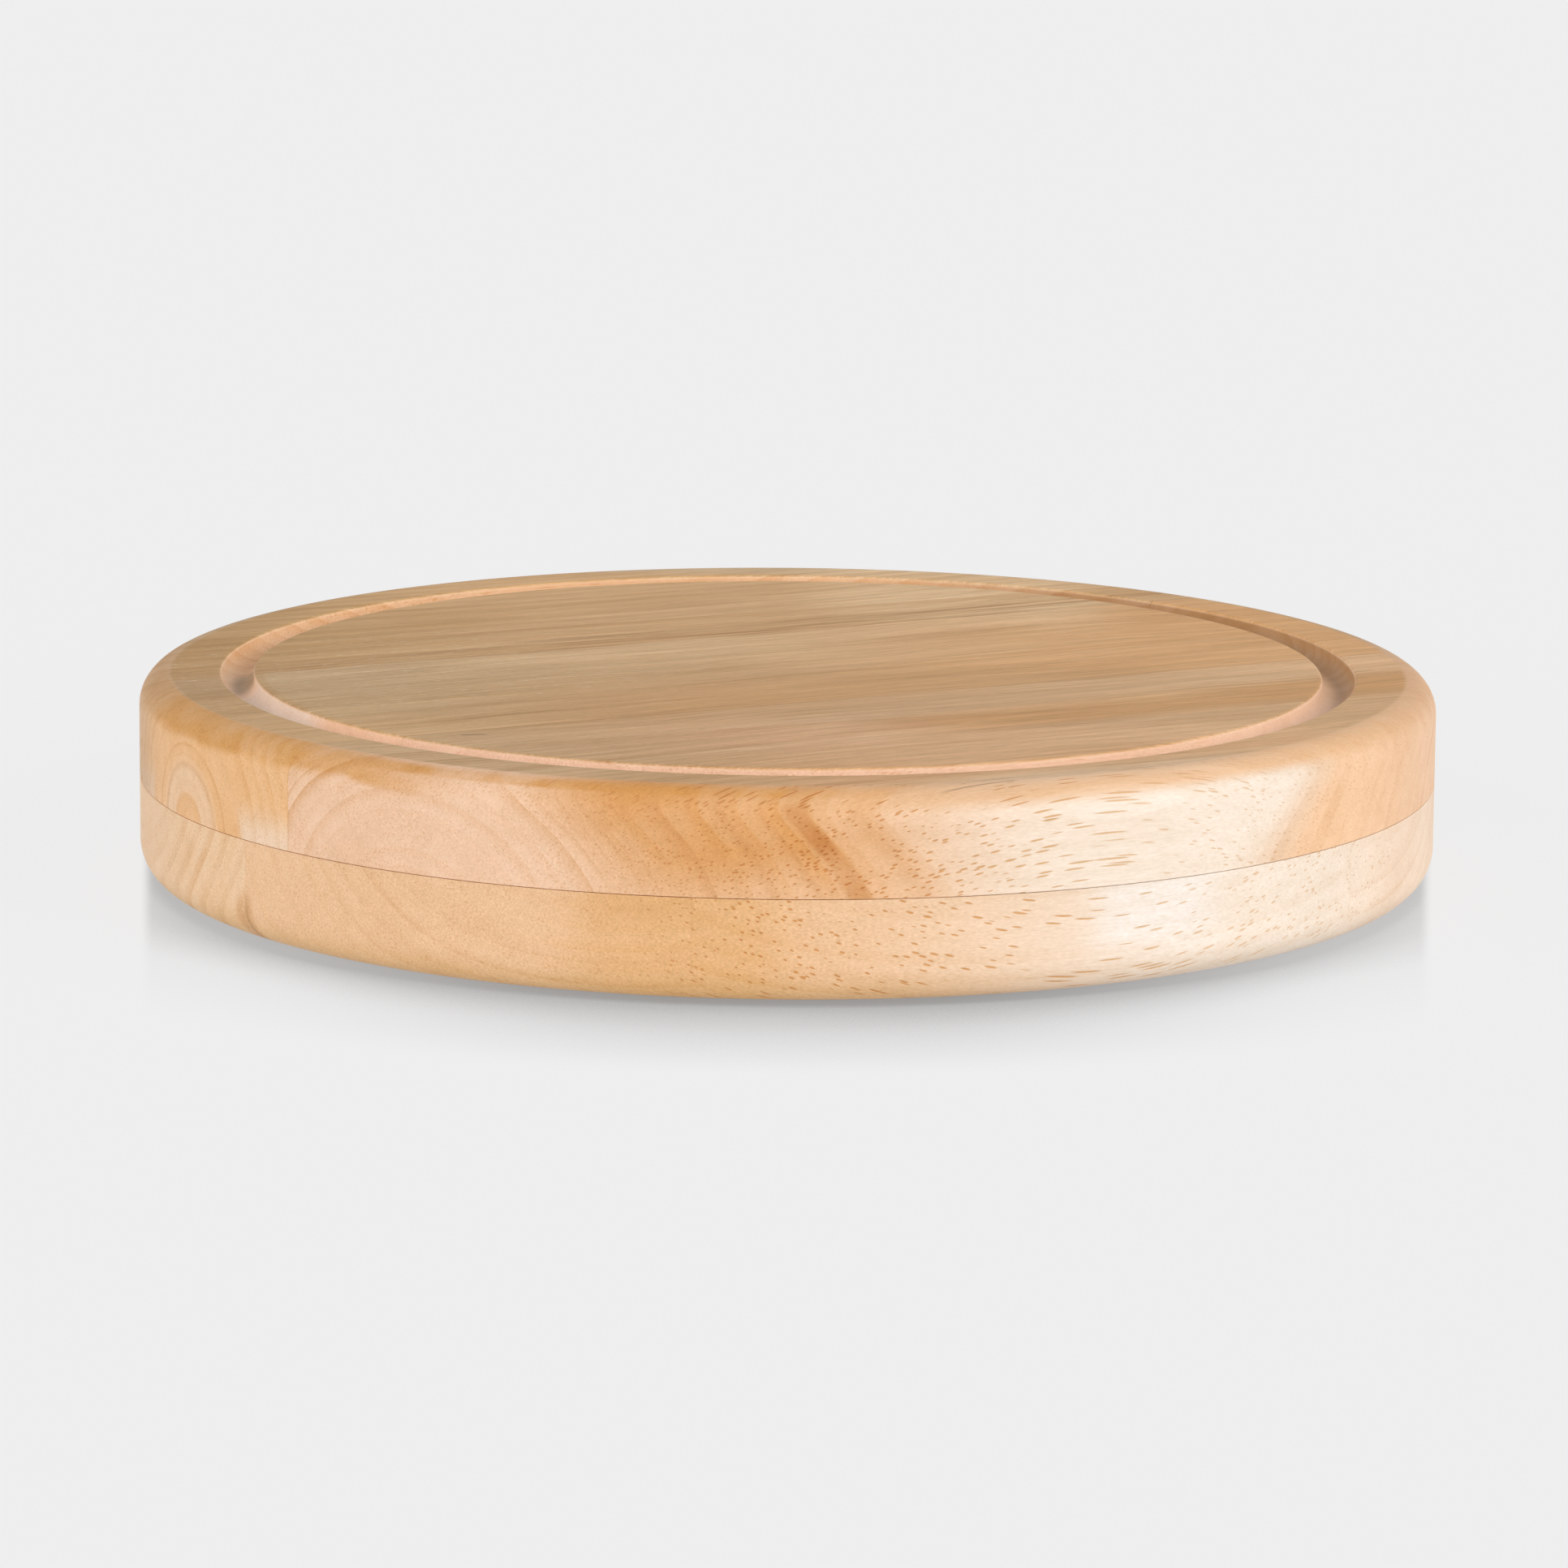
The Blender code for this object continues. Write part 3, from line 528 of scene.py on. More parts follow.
def board_wood(name, colours, board):
    """Oiled rubberwood in glued staves, for one board, with painted light and shade in some of its tints."""
    paint = Paint(name)
    spot = board_spot(paint, board)
    u, v, w, face = spot.u, spot.v, spot.w, spot.face
    staves = board["staves"]

    def own(key):
        return by_stave(spot, [getattr(stave, key) for stave in staves])

    spot.distance, late = growth_rings(
        paint, u, v, w, own("pith_v") + u * own("lean"), own("pith_w"), board["spacing"], own("seed")
    )
    grain = board_grain(paint, u, v, w)

    colour = staves[0].colour
    for past, stave in zip(spot.joints, staves[1:]):
        colour = paint.mix(past, colour, stave.colour)
    colour = paint.mix(paint.smooth(grain.broad, 0.40, 0.75) * 0.18, colour, colours.wood_deep)
    for place in board["tints"]:
        colour = tinted(paint, colours, spot, colour, place)
    early = (1.0 - late) * own("early") * paint.smooth(grain.broad, 0.35, 0.60)
    colour = paint.mix(early, colour, colours.wood_pale)
    ragged = 0.45 + 0.75 * paint.smooth(paint.noise(u / 22.0, v / 8.0, w / 8.0), 0.30, 0.68)
    marks = by_stave(spot, [ring_marks(paint, spot.distance, stave.rings) for stave in staves]) * ragged
    marks = marks * board["marked"](paint, spot) + late * own("late")
    colour = paint.mix(marks, colour, colours.wood_ring, "MULTIPLY")
    colour = paint.mix(face * board["face_share"], colour, colours.wood_face, "MULTIPLY")
    for side, depth in zip(spot.across, board["joint_depths"]):
        glue = paint.between(side, 0.0, 0.0, 0.22 + 0.15 * face) * (depth + 0.4 * face)
        colour = paint.mix(glue, colour, colours.wood_ring, "MULTIPLY")
    colour = paint.toned(colour, grain_change(paint, board, spot, grain))
    pores = vessel_pores(paint, u, v, w, board["bend"], *board["vessels"]) * board["pored"](paint, spot)
    return paint.finish(
        Base_Color=paint.mix(pores, colour, colours.wood_pore, "MULTIPLY"),
        Roughness=0.46 + (grain.fibre - 0.5) * 0.20 + pores * 0.15,
        Specular_IOR_Level=0.30,
        Normal=paint.bump(grain.fibre * 0.35 - pores, 0.00005),
    )


def off_face(paint, spot):
    return 1.0 - 0.6 * spot.face


def beyond_heart(paint, spot):
    """Away from the heart and towards the rounding, and fainter past two of the rings."""
    strong = 1.0 - 0.45 * paint.smooth(spot.distance, 58.4, 59.0)
    faint = 1.0 - 0.45 * paint.smooth(spot.distance, 62.4, 63.4)
    return paint.smooth(spot.distance, 28.0, 44.0) * (0.3 + 0.7 * spot.edge) * strong * faint


def more_right(paint, spot):
    return 0.78 + 0.22 * paint.smooth(spot.u, 0.0, 40.0)


def more_left(paint, spot):
    return 0.3 + 0.7 * paint.smooth(spot.u, 10.0, -90.0)


def in_patches(paint, spot):
    patchy = paint.noise(spot.u / 9.0, spot.v / 9.0, spot.w / 3.0)
    return 0.4 + paint.smooth(patchy, 0.35, 0.65) * 0.6


def wandering_band(paint, spot):
    """Up from a level that wanders by 2 mm, in faint patches."""
    uneven = paint.noise(spot.u / 14.0, spot.v / 14.0, spot.w / 5.0)
    level = spot.w + (uneven - 0.5) * 4.0
    return paint.smooth(level, 35.2, 37.6) * (0.75 + 0.25 * paint.smooth(uneven, 0.35, 0.6))


def long_streaks(paint, spot):
    streaks = paint.noise(spot.u / 40.0, spot.v / 1.7, 0.0)
    return paint.smooth(streaks, 0.45, 0.62)


def short_flecks(paint, spot):
    flecks = paint.noise(spot.u / 4.0, spot.v / 0.7, 0.0, detail=3.0, roughness=0.6)
    return paint.smooth(flecks, 0.60, 0.72)


def leaning_streak(paint, spot):
    return paint.between(spot.v + 66.0 - 0.02 * spot.u, -5.0, 5.0, 9.0)


def slanted_crack(paint, spot):
    return paint.between(spot.v + 39.1 + (spot.u + 87.4) * 0.30, -0.2, 0.2, 0.3)


UPPER_TINTS = (
    tint("heart", "wood_pink", 0.80, "front", distance=(44.0, 24.0)),
    # Pale sapwood on the front stave's right, partly the wood's own colour and partly a painted highlight
    # where the right lamp falls.
    tint("sapwood", "wood_pale", 1.0, "front", off_face, distance=(58.4, 66.0), u=(-64.0, -2.0)),
    tint("pale arch", "wood_pale", 0.26, "middle edge", distance=(5.0, 9.0, 2.5)),
    tint(
        "pale foot", "wood_pale", 0.50, "middle edge",
        distance=(21.0, 34.0, 3.0), w=(29.0, 21.0), x=(0.0, -60.0),
    ),
    tint("pale rounding", (0.92, 0.66, 0.42), 0.50, "middle edge", w=(37.9, 39.9, 0.8), x=(0.0, -60.0)),
    tint(
        "orange patch", (0.73, 0.34, 0.10), 0.94, "front", beyond_heart,
        u=(-118.0, -88.0, -48.0, -12.0), w=(14.0, 31.0),
    ),
    tint("right end", (0.99, 0.64, 0.39), 0.85, "front", distance=(62.5, 57.0), u=(20.0, 50.0)),
    tint("warm edge", (0.80, 0.45, 0.21), 0.72, "edge", w=(35.5, 38.8), u=(-90.0, -40.0, -20.0, 30.0)),
    tint("peach edge", (0.91, 0.54, 0.28), 0.90, "edge", more_right, w=(36.5, 39.0), u=(-30.0, 5.0)),
    tint(
        "burnt edge", (0.72, 0.33, 0.08), 0.85, "edge", in_patches,
        w=(39.3, 40.0, 0.6), u=(-122.0, -112.0, -75.0, -25.0),
    ),
    tint("orange band", (0.72, 0.34, 0.08), 0.90, "edge", wandering_band, u=(-104.0, -122.0)),
    tint("left rim", (0.58, 0.32, 0.13), 0.60, "edge", v=(16.0, 36.0), u=(-60.0, -100.0)),
    # Painted shade: the back of the rounding darker, where it faces away from the light.
    tint("painted shade, back rounding", (0.52, 0.33, 0.16), 0.70, "edge", y=(0.0, 50.0), w=(38.4, 40.0)),
    # Painted shade: the left of the flat face darker and browner, where less light falls.
    tint("painted shade, left of the face", (0.68, 0.475, 0.27), 0.65, "face", u=(-25.0, -95.0)),
    # Painted shade: a darker patch at the far left of the flat face, away from the light.
    tint("painted shade, far left of the face", (0.50, 0.32, 0.16), 0.75, "face", x=(-95.0, -116.0), v=(5.0, 30.0)),
    # Painted reflection: a pale haze at the back of the face, where it mirrors the bright surroundings at a
    # grazing angle.
    tint("painted reflection, back of the face", (0.82, 0.74, 0.64), 0.50, "face", y=(112.0, 120.0)),
    tint(
        "grey band", (0.86, 0.71, 0.52), 0.45,
        v=(-25.0, 20.0, 38.95, 39.05), u=(95.0, -10.0), radius=(105.5, 104.5),
    ),
    tint("brown middle", (0.58, 0.36, 0.17), 0.40, "face", y=(-50.0, -8.0, 20.0)),
    tint("right rim", (0.78, 0.44, 0.24), 0.35, "edge", x=(108.0, 127.0)),
    tint("brown stave", (0.63, 0.37, 0.13), 0.80, "face", more_left, v=(38.9, 39.1)),
    # Painted light: a lighter patch on the right of the flat face, where the right lamp falls.
    tint("painted light, right of the face", (1.0, 0.72, 0.47), 0.75, "face", x=(20.0, 52.0, 24.0), y=(35.0, 75.0)),
    tint("joint streaks", (0.56, 0.30, 0.12), 0.75, "face", long_streaks, v=(39.5, 48.0, 6.0)),
    tint("pale flecks", (0.98, 0.92, 0.82), 0.75, "face", short_flecks, v=(0.0, 60.0, 20.0), u=(30.0, -50.0)),
    tint("golden streak", (0.80, 0.43, 0.15), 0.65, "face", leaning_streak, u=(-25.0, 10.0)),
    tint("groove", (0.97, 0.68, 0.50), 0.80, "groove"),
    tint("groove, back", (0.86, 0.53, 0.27), 0.80, "groove", y=(-25.0, 15.0)),
    # Painted shade: the groove's outer wall on the right darker, turned away from the right lamp.
    tint(
        "groove, painted shade on the right", (0.45, 0.24, 0.09), 0.85, "groove",
        radius=(108.2, 111.0), y=(-45.0, 0.0), x=(5.0, 85.0),
    ),
    # Painted shade: a dark hollow in the groove at its left end, in the shadow of its edge.
    tint(
        "groove, painted shade at the left", (0.34, 0.24, 0.13), 0.75, "groove",
        radius=(112.2, 109.5), v=(42.0, 52.0, 9.0), x=(-70.0, -95.0),
    ),
    # Painted highlight: the groove's inner wall at the left end pale, where it mirrors the bright
    # surroundings.
    tint(
        "groove, painted highlight", (0.92, 0.84, 0.76), 0.60, "groove",
        radius=(112.0, 109.0), v=(-2.0, 26.0, 12.0), x=(-55.0, -85.0),
    ),
    tint("crack in the face", (0.20, 0.10, 0.05), 0.85, "face", slanted_crack, u=(-89.5, -86.0, 1.2)),
    tint(
        "front crack", (0.42, 0.24, 0.12), 0.75,
        v=(-122.9, -122.7, 0.2), u=(-31.0, -17.0, 2.0), w=(39.2, 39.9),
    ),
)

LOWER_TINTS = (
    # Pale sapwood towards the right front, partly the wood's own colour and partly a painted highlight where
    # the right lamp falls.
    tint("sapwood", "wood_pale", 1.0, u=(-68.0, 28.0), v=(-60.0, -90.0)),
    # Painted highlight: a pale spot on the front wall, right of the middle.
    tint("painted highlight, front wall", (0.97, 0.91, 0.86), 0.55, x=(63.0, 75.0, 10.0), y=(-60.0, -90.0), w=(4.0, 13.0)),
    tint("golden edge", (0.80, 0.45, 0.19), 0.90, u=(-88.0, -68.0, 14.0), v=(-80.0, -100.0)),
    tint("right end", (0.95, 0.69, 0.49), 0.75, u=(50.0, 85.0)),
    # Painted shade: the bottom rounding a deeper orange, where less light reaches it.
    tint("painted shade, bottom rounding", (0.88, 0.54, 0.21), 0.50, "edge", w=(7.0, 1.5), u=(15.0, -60.0)),
    # Painted shade: a darker wedge along the lower joint that widens towards the bottom.
    tint("painted shade at the joint", (0.64, 0.31, 0.10), 0.62, v=(-22.4, -19.4, 2.2), u=(-60.0, -90.0), w=(13.0, 5.0)),
    tint("open joint", (0.48, 0.25, 0.09), 0.55, v=(-22.1, -21.5, 0.3), u=(-60.0, -90.0), w=(13.0, 2.0)),
)


def upper_marked(paint, spot):
    """How plainly the upper board's rings show: less on the face and the rounding, and not in the groove."""
    outer = 1.0 - 0.75 * paint.smooth(spot.w, 36.5, 39.0) * spot.edge
    right = 1.0 - 0.55 * paint.smooth(spot.u, 20.0, 60.0)
    arcs = 1.0 - 0.45 * paint.between(spot.u, -106.0, -86.0, 8.0)
    arcs = arcs + 0.45 * paint.smooth(spot.u, -114.0, -121.0)
    return (1.0 - 0.5 * spot.face) * outer * right * arcs * (1.0 - 0.9 * spot.groove)


def lower_marked(paint, spot):
    return 1.0 - 0.5 * spot.face


def upper_pored(paint, spot):
    """Where the upper board's vessels show: on its edge, and less on the left, where they are cut across."""
    left = 0.40 + 0.60 * paint.smooth(spot.u, -105.0, -45.0)
    right = 1.0 - 0.35 * paint.smooth(spot.u, -20.0, 30.0) - 0.35 * paint.smooth(spot.u, 30.0, 60.0)
    high = 1.0 - 0.45 * paint.smooth(spot.w, 36.0, 38.5) * paint.smooth(spot.u, -10.0, 40.0)
    return (0.08 + 0.92 * spot.edge + 0.4 * spot.groove) * left * right * high


def lower_pored(paint, spot):
    """Where the lower board's vessels show: on its edge, mostly on the front stave."""
    right = 1.0 - 0.35 * paint.smooth(spot.u, -10.0, 40.0)
    front = 0.35 + 0.65 * paint.smooth(spot.v, -96.0, -112.0)
    return (0.30 + 0.70 * spot.edge * (1.0 - spot.face)) * front * right


def handle_wood(name, colours, y, seed):
    """The handles' darker rubberwood, its grain along the tool."""
    paint = Paint(name)
    x, across, z = paint.place()
    v = across - y * MILLIMETRES + seed * 3.7
    w = z + seed * 11.0
    _, late = growth_rings(paint, x, v, w, 14.0 + seed, 30.0 + seed * 9.0, 2.6, seed)
    streak = paint.noise(x / 60.0, v / 1.6, w / 1.6, detail=3.0)
    fibre = paint.noise(x / 4.0, v / 0.25, w / 0.25, roughness=0.6)
    colour = paint.mix(late * 0.45, colours.handle, (0.50, 0.25, 0.10))
    colour = paint.scaled(colour, 1.0 + (streak - 0.5) * 0.5 + (fibre - 0.5) * 0.22)
    pores = vessel_pores(paint, x, v, w, 0.05, 0.80, 18.0, 0.20)
    colour = paint.mix(pores * 0.75, colour, (0.30, 0.13, 0.05))
    return paint.finish(
        Base_Color=colour,
        Roughness=0.42 + (fibre - 0.5) * 0.2 + pores * 0.2,
        Normal=paint.bump(fibre * 0.3 - pores, 0.00005),
    )


def brushed_steel(name, colours, along):
    """Stainless steel with brush lines along x, or turned about the pivot's axis where along is False."""
    paint = Paint(name)
    x, y, z = paint.place()
    if along:
        across = (x / 14.0, y / 0.09, z / 0.09)
    else:
        across = (paint.pivot_radius(x, y) / 0.09, z / 0.09, 0.0)
    lines = paint.noise(*across, detail=3.0, roughness=0.65)
    cloud = paint.noise(x / 9.0, y / 9.0, z / 9.0)
    tone = 0.93 + (lines - 0.5) * 0.34 + (cloud - 0.5) * 0.14
    return paint.finish(
        Base_Color=paint.scaled(colours.steel, tone),
        Metallic=1.0,
        Roughness=0.30 + (lines - 0.5) * 0.22 + (cloud - 0.5) * 0.10,
        Normal=paint.bump(lines, 0.000006),
    )


def turned_brass(name, colours):
    """Brass with the lathe's fine rings and a few dull spots."""
    paint = Paint(name)
    x, y, z = paint.place()
    rings = paint.noise(paint.pivot_radius(x, y) / 0.12, z / 0.12, 0.0, roughness=0.6)
    dull = paint.noise(x / 3.0, y / 3.0, z / 3.0, detail=3.0)
    tarnish = paint.smooth(dull, 0.52, 0.75)
    colour = paint.mix(tarnish * 0.5, colours.brass, (0.50, 0.33, 0.14))
    return paint.finish(
        Base_Color=paint.scaled(colour, 0.92 + rings * 0.14),
        Metallic=1.0,
        Roughness=0.30 + tarnish * 0.18 + (rings - 0.5) * 0.10,
        Normal=paint.bump(rings, 0.000008),
    )


def moulded_nylon(name, colours):
    """Off-white nylon with a fine moulded texture and faint wear rings."""
    paint = Paint(name)
    x, y, z = paint.place()
    wear = paint.noise(paint.pivot_radius(x, y) / 0.35, 0.0, 0.0)
    grain = paint.noise(x / 0.25, y / 0.25, z / 0.25)
    colour = paint.mix(paint.smooth(wear, 0.5, 0.8) * 0.3, colours.nylon, (0.62, 0.58, 0.50))
    return paint.finish(
        Base_Color=paint.scaled(colour, 0.97 + grain * 0.06),
        Roughness=0.48 + (grain - 0.5) * 0.15,
        Normal=paint.bump(grain, 0.00001),
    )


# Shapes


def line(start, end, steps):
    """Points evenly along a straight line: start + share * (end - start)."""
    share = np.linspace(0.0, 1.0, steps + 1)[:, None]
    return np.asarray(start, float) + share * (np.asarray(end, float) - np.asarray(start, float))


def arc(centre, radii, start, end, steps):
    """Points of an elliptical arc: centre + radii * (cos a, sin a), with a going evenly in degrees."""
    angles = np.radians(np.linspace(start, end, steps + 1))
    return np.column_stack((centre[0] + radii[0] * np.cos(angles), centre[1] + radii[1] * np.sin(angles)))


def cells_of(rows, columns, closed_rows=False, closed_columns=True):
    """The four corners of each cell of a grid of points, row by row."""
    row = np.arange(rows if closed_rows else rows - 1)[:, None]
    column = np.arange(columns if closed_columns else columns - 1)[None, :]
    below, right = (row + 1) % rows, (column + 1) % columns
    corners = (
        row * columns + column,
        row * columns + right,
        below * columns + right,
        below * columns + column,
    )
    return np.stack(np.broadcast_arrays(*corners), -1).reshape(-1, 4)


def linked(name, data):
    """A new object of the scene with this data."""
    made = bpy.data.objects.new(name, data)
    bpy.context.scene.collection.objects.link(made)
    return made


def surface(name, points, faces, caps=()):
    """A piece from a grid of points: equal points become one and the faces are turned outwards."""
    mesh = bpy.data.meshes.new(name)
    polygons = faces.tolist() + [list(cap) for cap in caps]
    mesh.from_pydata(points.reshape(-1, 3).tolist(), [], polygons)
    shape = bmesh.new()
    shape.from_mesh(mesh)
    bmesh.ops.remove_doubles(shape, verts=shape.verts, dist=1e-6)
    bmesh.ops.recalc_face_normals(shape, faces=shape.faces)
    shape.to_mesh(mesh)
    shape.free()
    return linked(name, mesh)


def circle(steps):
    """The angles of one turn in even steps, as a row."""
    return np.linspace(0.0, 2 * math.pi, steps, endpoint=False)[None, :]


def about_axis(radius, level, angle, y):
    """The points of a grid about an upright axis: (r cos t, y + r sin t, z)."""
    return np.stack((radius * np.cos(angle), y + radius * np.sin(angle), level + 0.0 * angle), axis=-1)


def turned(name, profile, steps, y=0.0, closed=False):
    """A profile (r, z) turned about an upright axis: (r cos t, y + r sin t, z) for t round the circle."""
    points = about_axis(profile[:, 0][:, None], profile[:, 1][:, None], circle(steps), y)
    return surface(name, points, cells_of(len(profile), steps, closed_rows=closed))


def outline_of(corners, step=6.0):
    """A flat outline whose corners (x, y, radius) are arcs that touch both sides, in steps of degrees."""
    points = []
    count = len(corners)
    for i, (x, y, radius) in enumerate(corners):
        corner = np.array((x, y))
        before = np.array(corners[i - 1][:2]) - corner
        after = np.array(corners[(i + 1) % count][:2]) - corner
        room = 0.48 * min(np.linalg.norm(before), np.linalg.norm(after))
        before, after = before / np.linalg.norm(before), after / np.linalg.norm(after)
        inside = math.acos(max(-1.0, min(1.0, float(before @ after))))
        tangent = min(radius / math.tan(inside / 2), room)
        if tangent < 1e-6:
            points.append(corner[None, :])
            continue
        radius = tangent * math.tan(inside / 2)
        middle = before + after
        centre = corner + middle * (radius / math.sin(inside / 2) / np.linalg.norm(middle))
        first, last = corner + before * tangent - centre, corner + after * tangent - centre
        start = math.degrees(math.atan2(first[1], first[0]))
        turn = (math.degrees(math.atan2(last[1], last[0])) - start + 180) % 360 - 180
        steps = max(3, math.ceil(abs(turn) / step))
        points.append(arc(centre, (radius, radius), start, start + turn, steps))
    return np.vstack(points)


def moved_out(outline, distance):
    """The outline moved sideways by a distance, each point along the mean of its two sides' normals."""
    forward = np.roll(outline, -1, axis=0) - outline
    forward /= np.linalg.norm(forward, axis=1)[:, None]
    backward = np.roll(forward, 1, axis=0)
    mean = forward + backward
    mean /= np.linalg.norm(mean, axis=1)[:, None]
    stretch = 1.0 / np.clip((mean * forward).sum(axis=1), 0.5, 1.0)
    area = (outline[:, 0] * np.roll(outline[:, 1], -1) - np.roll(outline[:, 0], -1) * outline[:, 1]).sum()
    normal = np.column_stack((mean[:, 1], -mean[:, 0])) * math.copysign(1.0, area)
    return outline + normal * (stretch * distance)[:, None]


def stacked(name, outline, rings):
    """The outline carried up through rings of (outward move, level), closed with a flat face at each end."""
    layers = []
    for distance, level in rings:
        moved = moved_out(outline, distance)
        layers.append(np.column_stack((moved, np.full(len(moved), level))))
    count = len(outline)
    caps = (range(count), range((len(rings) - 1) * count, len(rings) * count))
    return surface(name, np.stack(layers), cells_of(len(rings), count), caps)


def pocket(name, outline, floor, sizes):
    """The tool that cuts a pocket: fillet at the floor, straight wall, eased upper edge."""
    ease, fillet = sizes.pocket_ease, sizes.pocket_fillet
    bottom = arc((-fillet, floor + fillet), (fillet, fillet), -90, 0, 5)
    lip = arc((ease, LOWER_TOP - ease), (ease, ease), 180, 90, 4)
    rings = np.vstack((bottom, lip, [(ease, LOWER_TOP + CUT_OVERRUN)]))
    return stacked(name, outline, rings)


def round_cutter(name, radius, bottom, top, ease=0.0, down=False):
    """A round hole's cutter on the pivot's axis, with an eased mouth at its top, or at its bottom."""
    profile = [(0.0, top), (radius, top), (radius, bottom), (0.0, bottom)]
    if ease and not down:
        mouth = top - CUT_OVERRUN
        profile[1:2] = [(radius + ease, top), (radius + ease, mouth), (radius, mouth - ease)]
    if ease and down:
        mouth = bottom + CUT_OVERRUN
        profile[2:3] = [(radius, mouth + ease), (radius + ease, mouth), (radius + ease, bottom)]
    return turned(name, np.array(profile), TURNED_STEPS, PIVOT_Y)


def cut(piece, *cutters):
    """Takes the cutters out of the piece and leaves a plain mesh."""
    for cutter in cutters:
        modifier = piece.modifiers.new(cutter.name, "BOOLEAN")
        modifier.operation = "DIFFERENCE"
        modifier.solver = "EXACT"
        modifier.object = cutter
    graph = bpy.context.evaluated_depsgraph_get()
    mesh = bpy.data.meshes.new_from_object(piece.evaluated_get(graph))
    piece.modifiers.clear()
    piece.data = mesh
    for cutter in cutters:
        bpy.data.objects.remove(cutter, do_unlink=True)
    return piece


def dressed(piece, material, body, node):
    """Gives a piece its finish and shading, and sets it on its body in its node's place."""
    mesh = piece.data
    mesh.materials.clear()
    mesh.materials.append(material)
    mesh.shade_smooth()
    mesh.set_sharp_from_angle(angle=SHARP_ANGLE)
    shading = piece.modifiers.new("Shading", "WEIGHTED_NORMAL")
    shading.mode = "FACE_AREA"
    shading.weight = 90
    shading.keep_sharp = True
    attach(piece, body)
    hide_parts(node)


# The boards


def seam_rim(level, side):
    """A board's rim at the seam, from inside out: a lip a hair proud of the face, for a fine seam."""
    lip = level + side * SEAM_LIP
    centre = (BOARD_RADIUS - SEAM_EASE, lip - side * SEAM_EASE)
    corner = arc(centre, (SEAM_EASE, side * SEAM_EASE), 90, 0, 4)
    inside = BOARD_RADIUS - SEAM_LIP_WIDTH
    return np.vstack(([(inside, level), (inside + 0.0002, lip)], corner))


def upper_profile(sizes):
    """Half the upper board's section, from the middle of its top round to the middle of its underside."""
    middle = (GROOVE_INNER + GROOVE_OUTER) / 2
    half = (GROOVE_OUTER - GROOVE_INNER) / 2 - GROOVE_LIP
    lip = (GROOVE_LIP, GROOVE_LIP)
    level = UPPER_TOP - GROOVE_LIP
    top = sizes.top_round
    return np.vstack(
        (
            line((0.0, UPPER_TOP), (GROOVE_INNER - 0.004, UPPER_TOP), 10),
            arc((GROOVE_INNER, level), lip, 90, 0, 5),
            arc((middle, level), (half, sizes.groove_depth - GROOVE_LIP), 180, 360, 20)[1:-1],
            arc((GROOVE_OUTER, level), lip, 180, 90, 5),
            line((GROOVE_OUTER + 0.003, UPPER_TOP), (BOARD_RADIUS - top - 0.002, UPPER_TOP), 2),
            arc((BOARD_RADIUS - top, UPPER_TOP - top), (top, top), 90, 0, 14),
            line((BOARD_RADIUS, UPPER_TOP - top - 0.002), (BOARD_RADIUS, UPPER_BOTTOM + 0.002), 4),
            seam_rim(UPPER_BOTTOM, -1.0)[::-1],
            line((BOARD_RADIUS - 0.006, UPPER_BOTTOM), (0.0, UPPER_BOTTOM), 8),
        )
    )


def lower_profile(sizes):
    """Half the lower board's section, from the middle of its top to the middle of its underside."""
    bottom = sizes.bottom_round
    return np.vstack(
        (
            line((0.0, LOWER_TOP), (BOARD_RADIUS - 0.006, LOWER_TOP), 1),
            seam_rim(LOWER_TOP, 1.0),
            line((BOARD_RADIUS, LOWER_TOP - 0.002), (BOARD_RADIUS, bottom + 0.001), 3),
            arc((BOARD_RADIUS - bottom, bottom), (bottom, bottom), 0, -90, 16),
            line((BOARD_RADIUS - bottom - 0.004, 0.0), (0.0, 0.0), 6),
        )
    )


def blade_room(half_width, shoulder, y):
    """A blade pocket's outline, drawn in towards the ferrule."""
    throat = HANDLE_NECK / 2 + POCKET_CLEAR / 2
    wide = half_width + POCKET_CLEAR
    upper = [
        (FERRULE_FRONT_X + FERRULE_LENGTH / 2, throat, 0.0),
        (FERRULE_FRONT_X - shoulder + POCKET_CLEAR, wide, 0.010),
        (FERRULE_FRONT_X - BLADE_LENGTH - POCKET_CLEAR, wide, 0.005),
    ]
    return outline_of(mirrored(upper, y))


def mirrored(side, y):
    """A whole outline's corners from those of its upper side, about the line at y."""
    return [(x, y + v, r) for x, v, r in side] + [(x, y - v, r) for x, v, r in reversed(side)]


def handle_room(y):
    """A handle pocket's outline, full width past the butt and drawn in towards the ferrule."""
    wide = HANDLE_WIDTH / 2 + POCKET_CLEAR
    upper = [
        (BUTT_X + POCKET_CLEAR, wide, wide),
        (FERRULE_BACK_X + HANDLE_FULLEST, wide, 4 * wide),
        (FERRULE_FRONT_X - POCKET_CLEAR, HANDLE_NECK / 2 + POCKET_CLEAR, 0.005),
    ]
    return outline_of(mirrored(upper, y))


BLADE_ROOMS = {
    "chisel_knife": (CHISEL_HALF, CHISEL_SHOULDER),
    "fork_knife": (FORK_HALF + PRONG_RISE, FORK_SHOULDER),
    "cheese_plane": (PLANE_HALF, PLANE_SHOULDER),
    "spade_knife": (SPADE_HALF, SPADE_SHOULDER),
}


def tool_y(tool):
    """The level of a tool's axis across the tray, from its handle's box."""
    low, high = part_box(tool + "_handle")
    return (low.y + high.y) / 2


# The tools


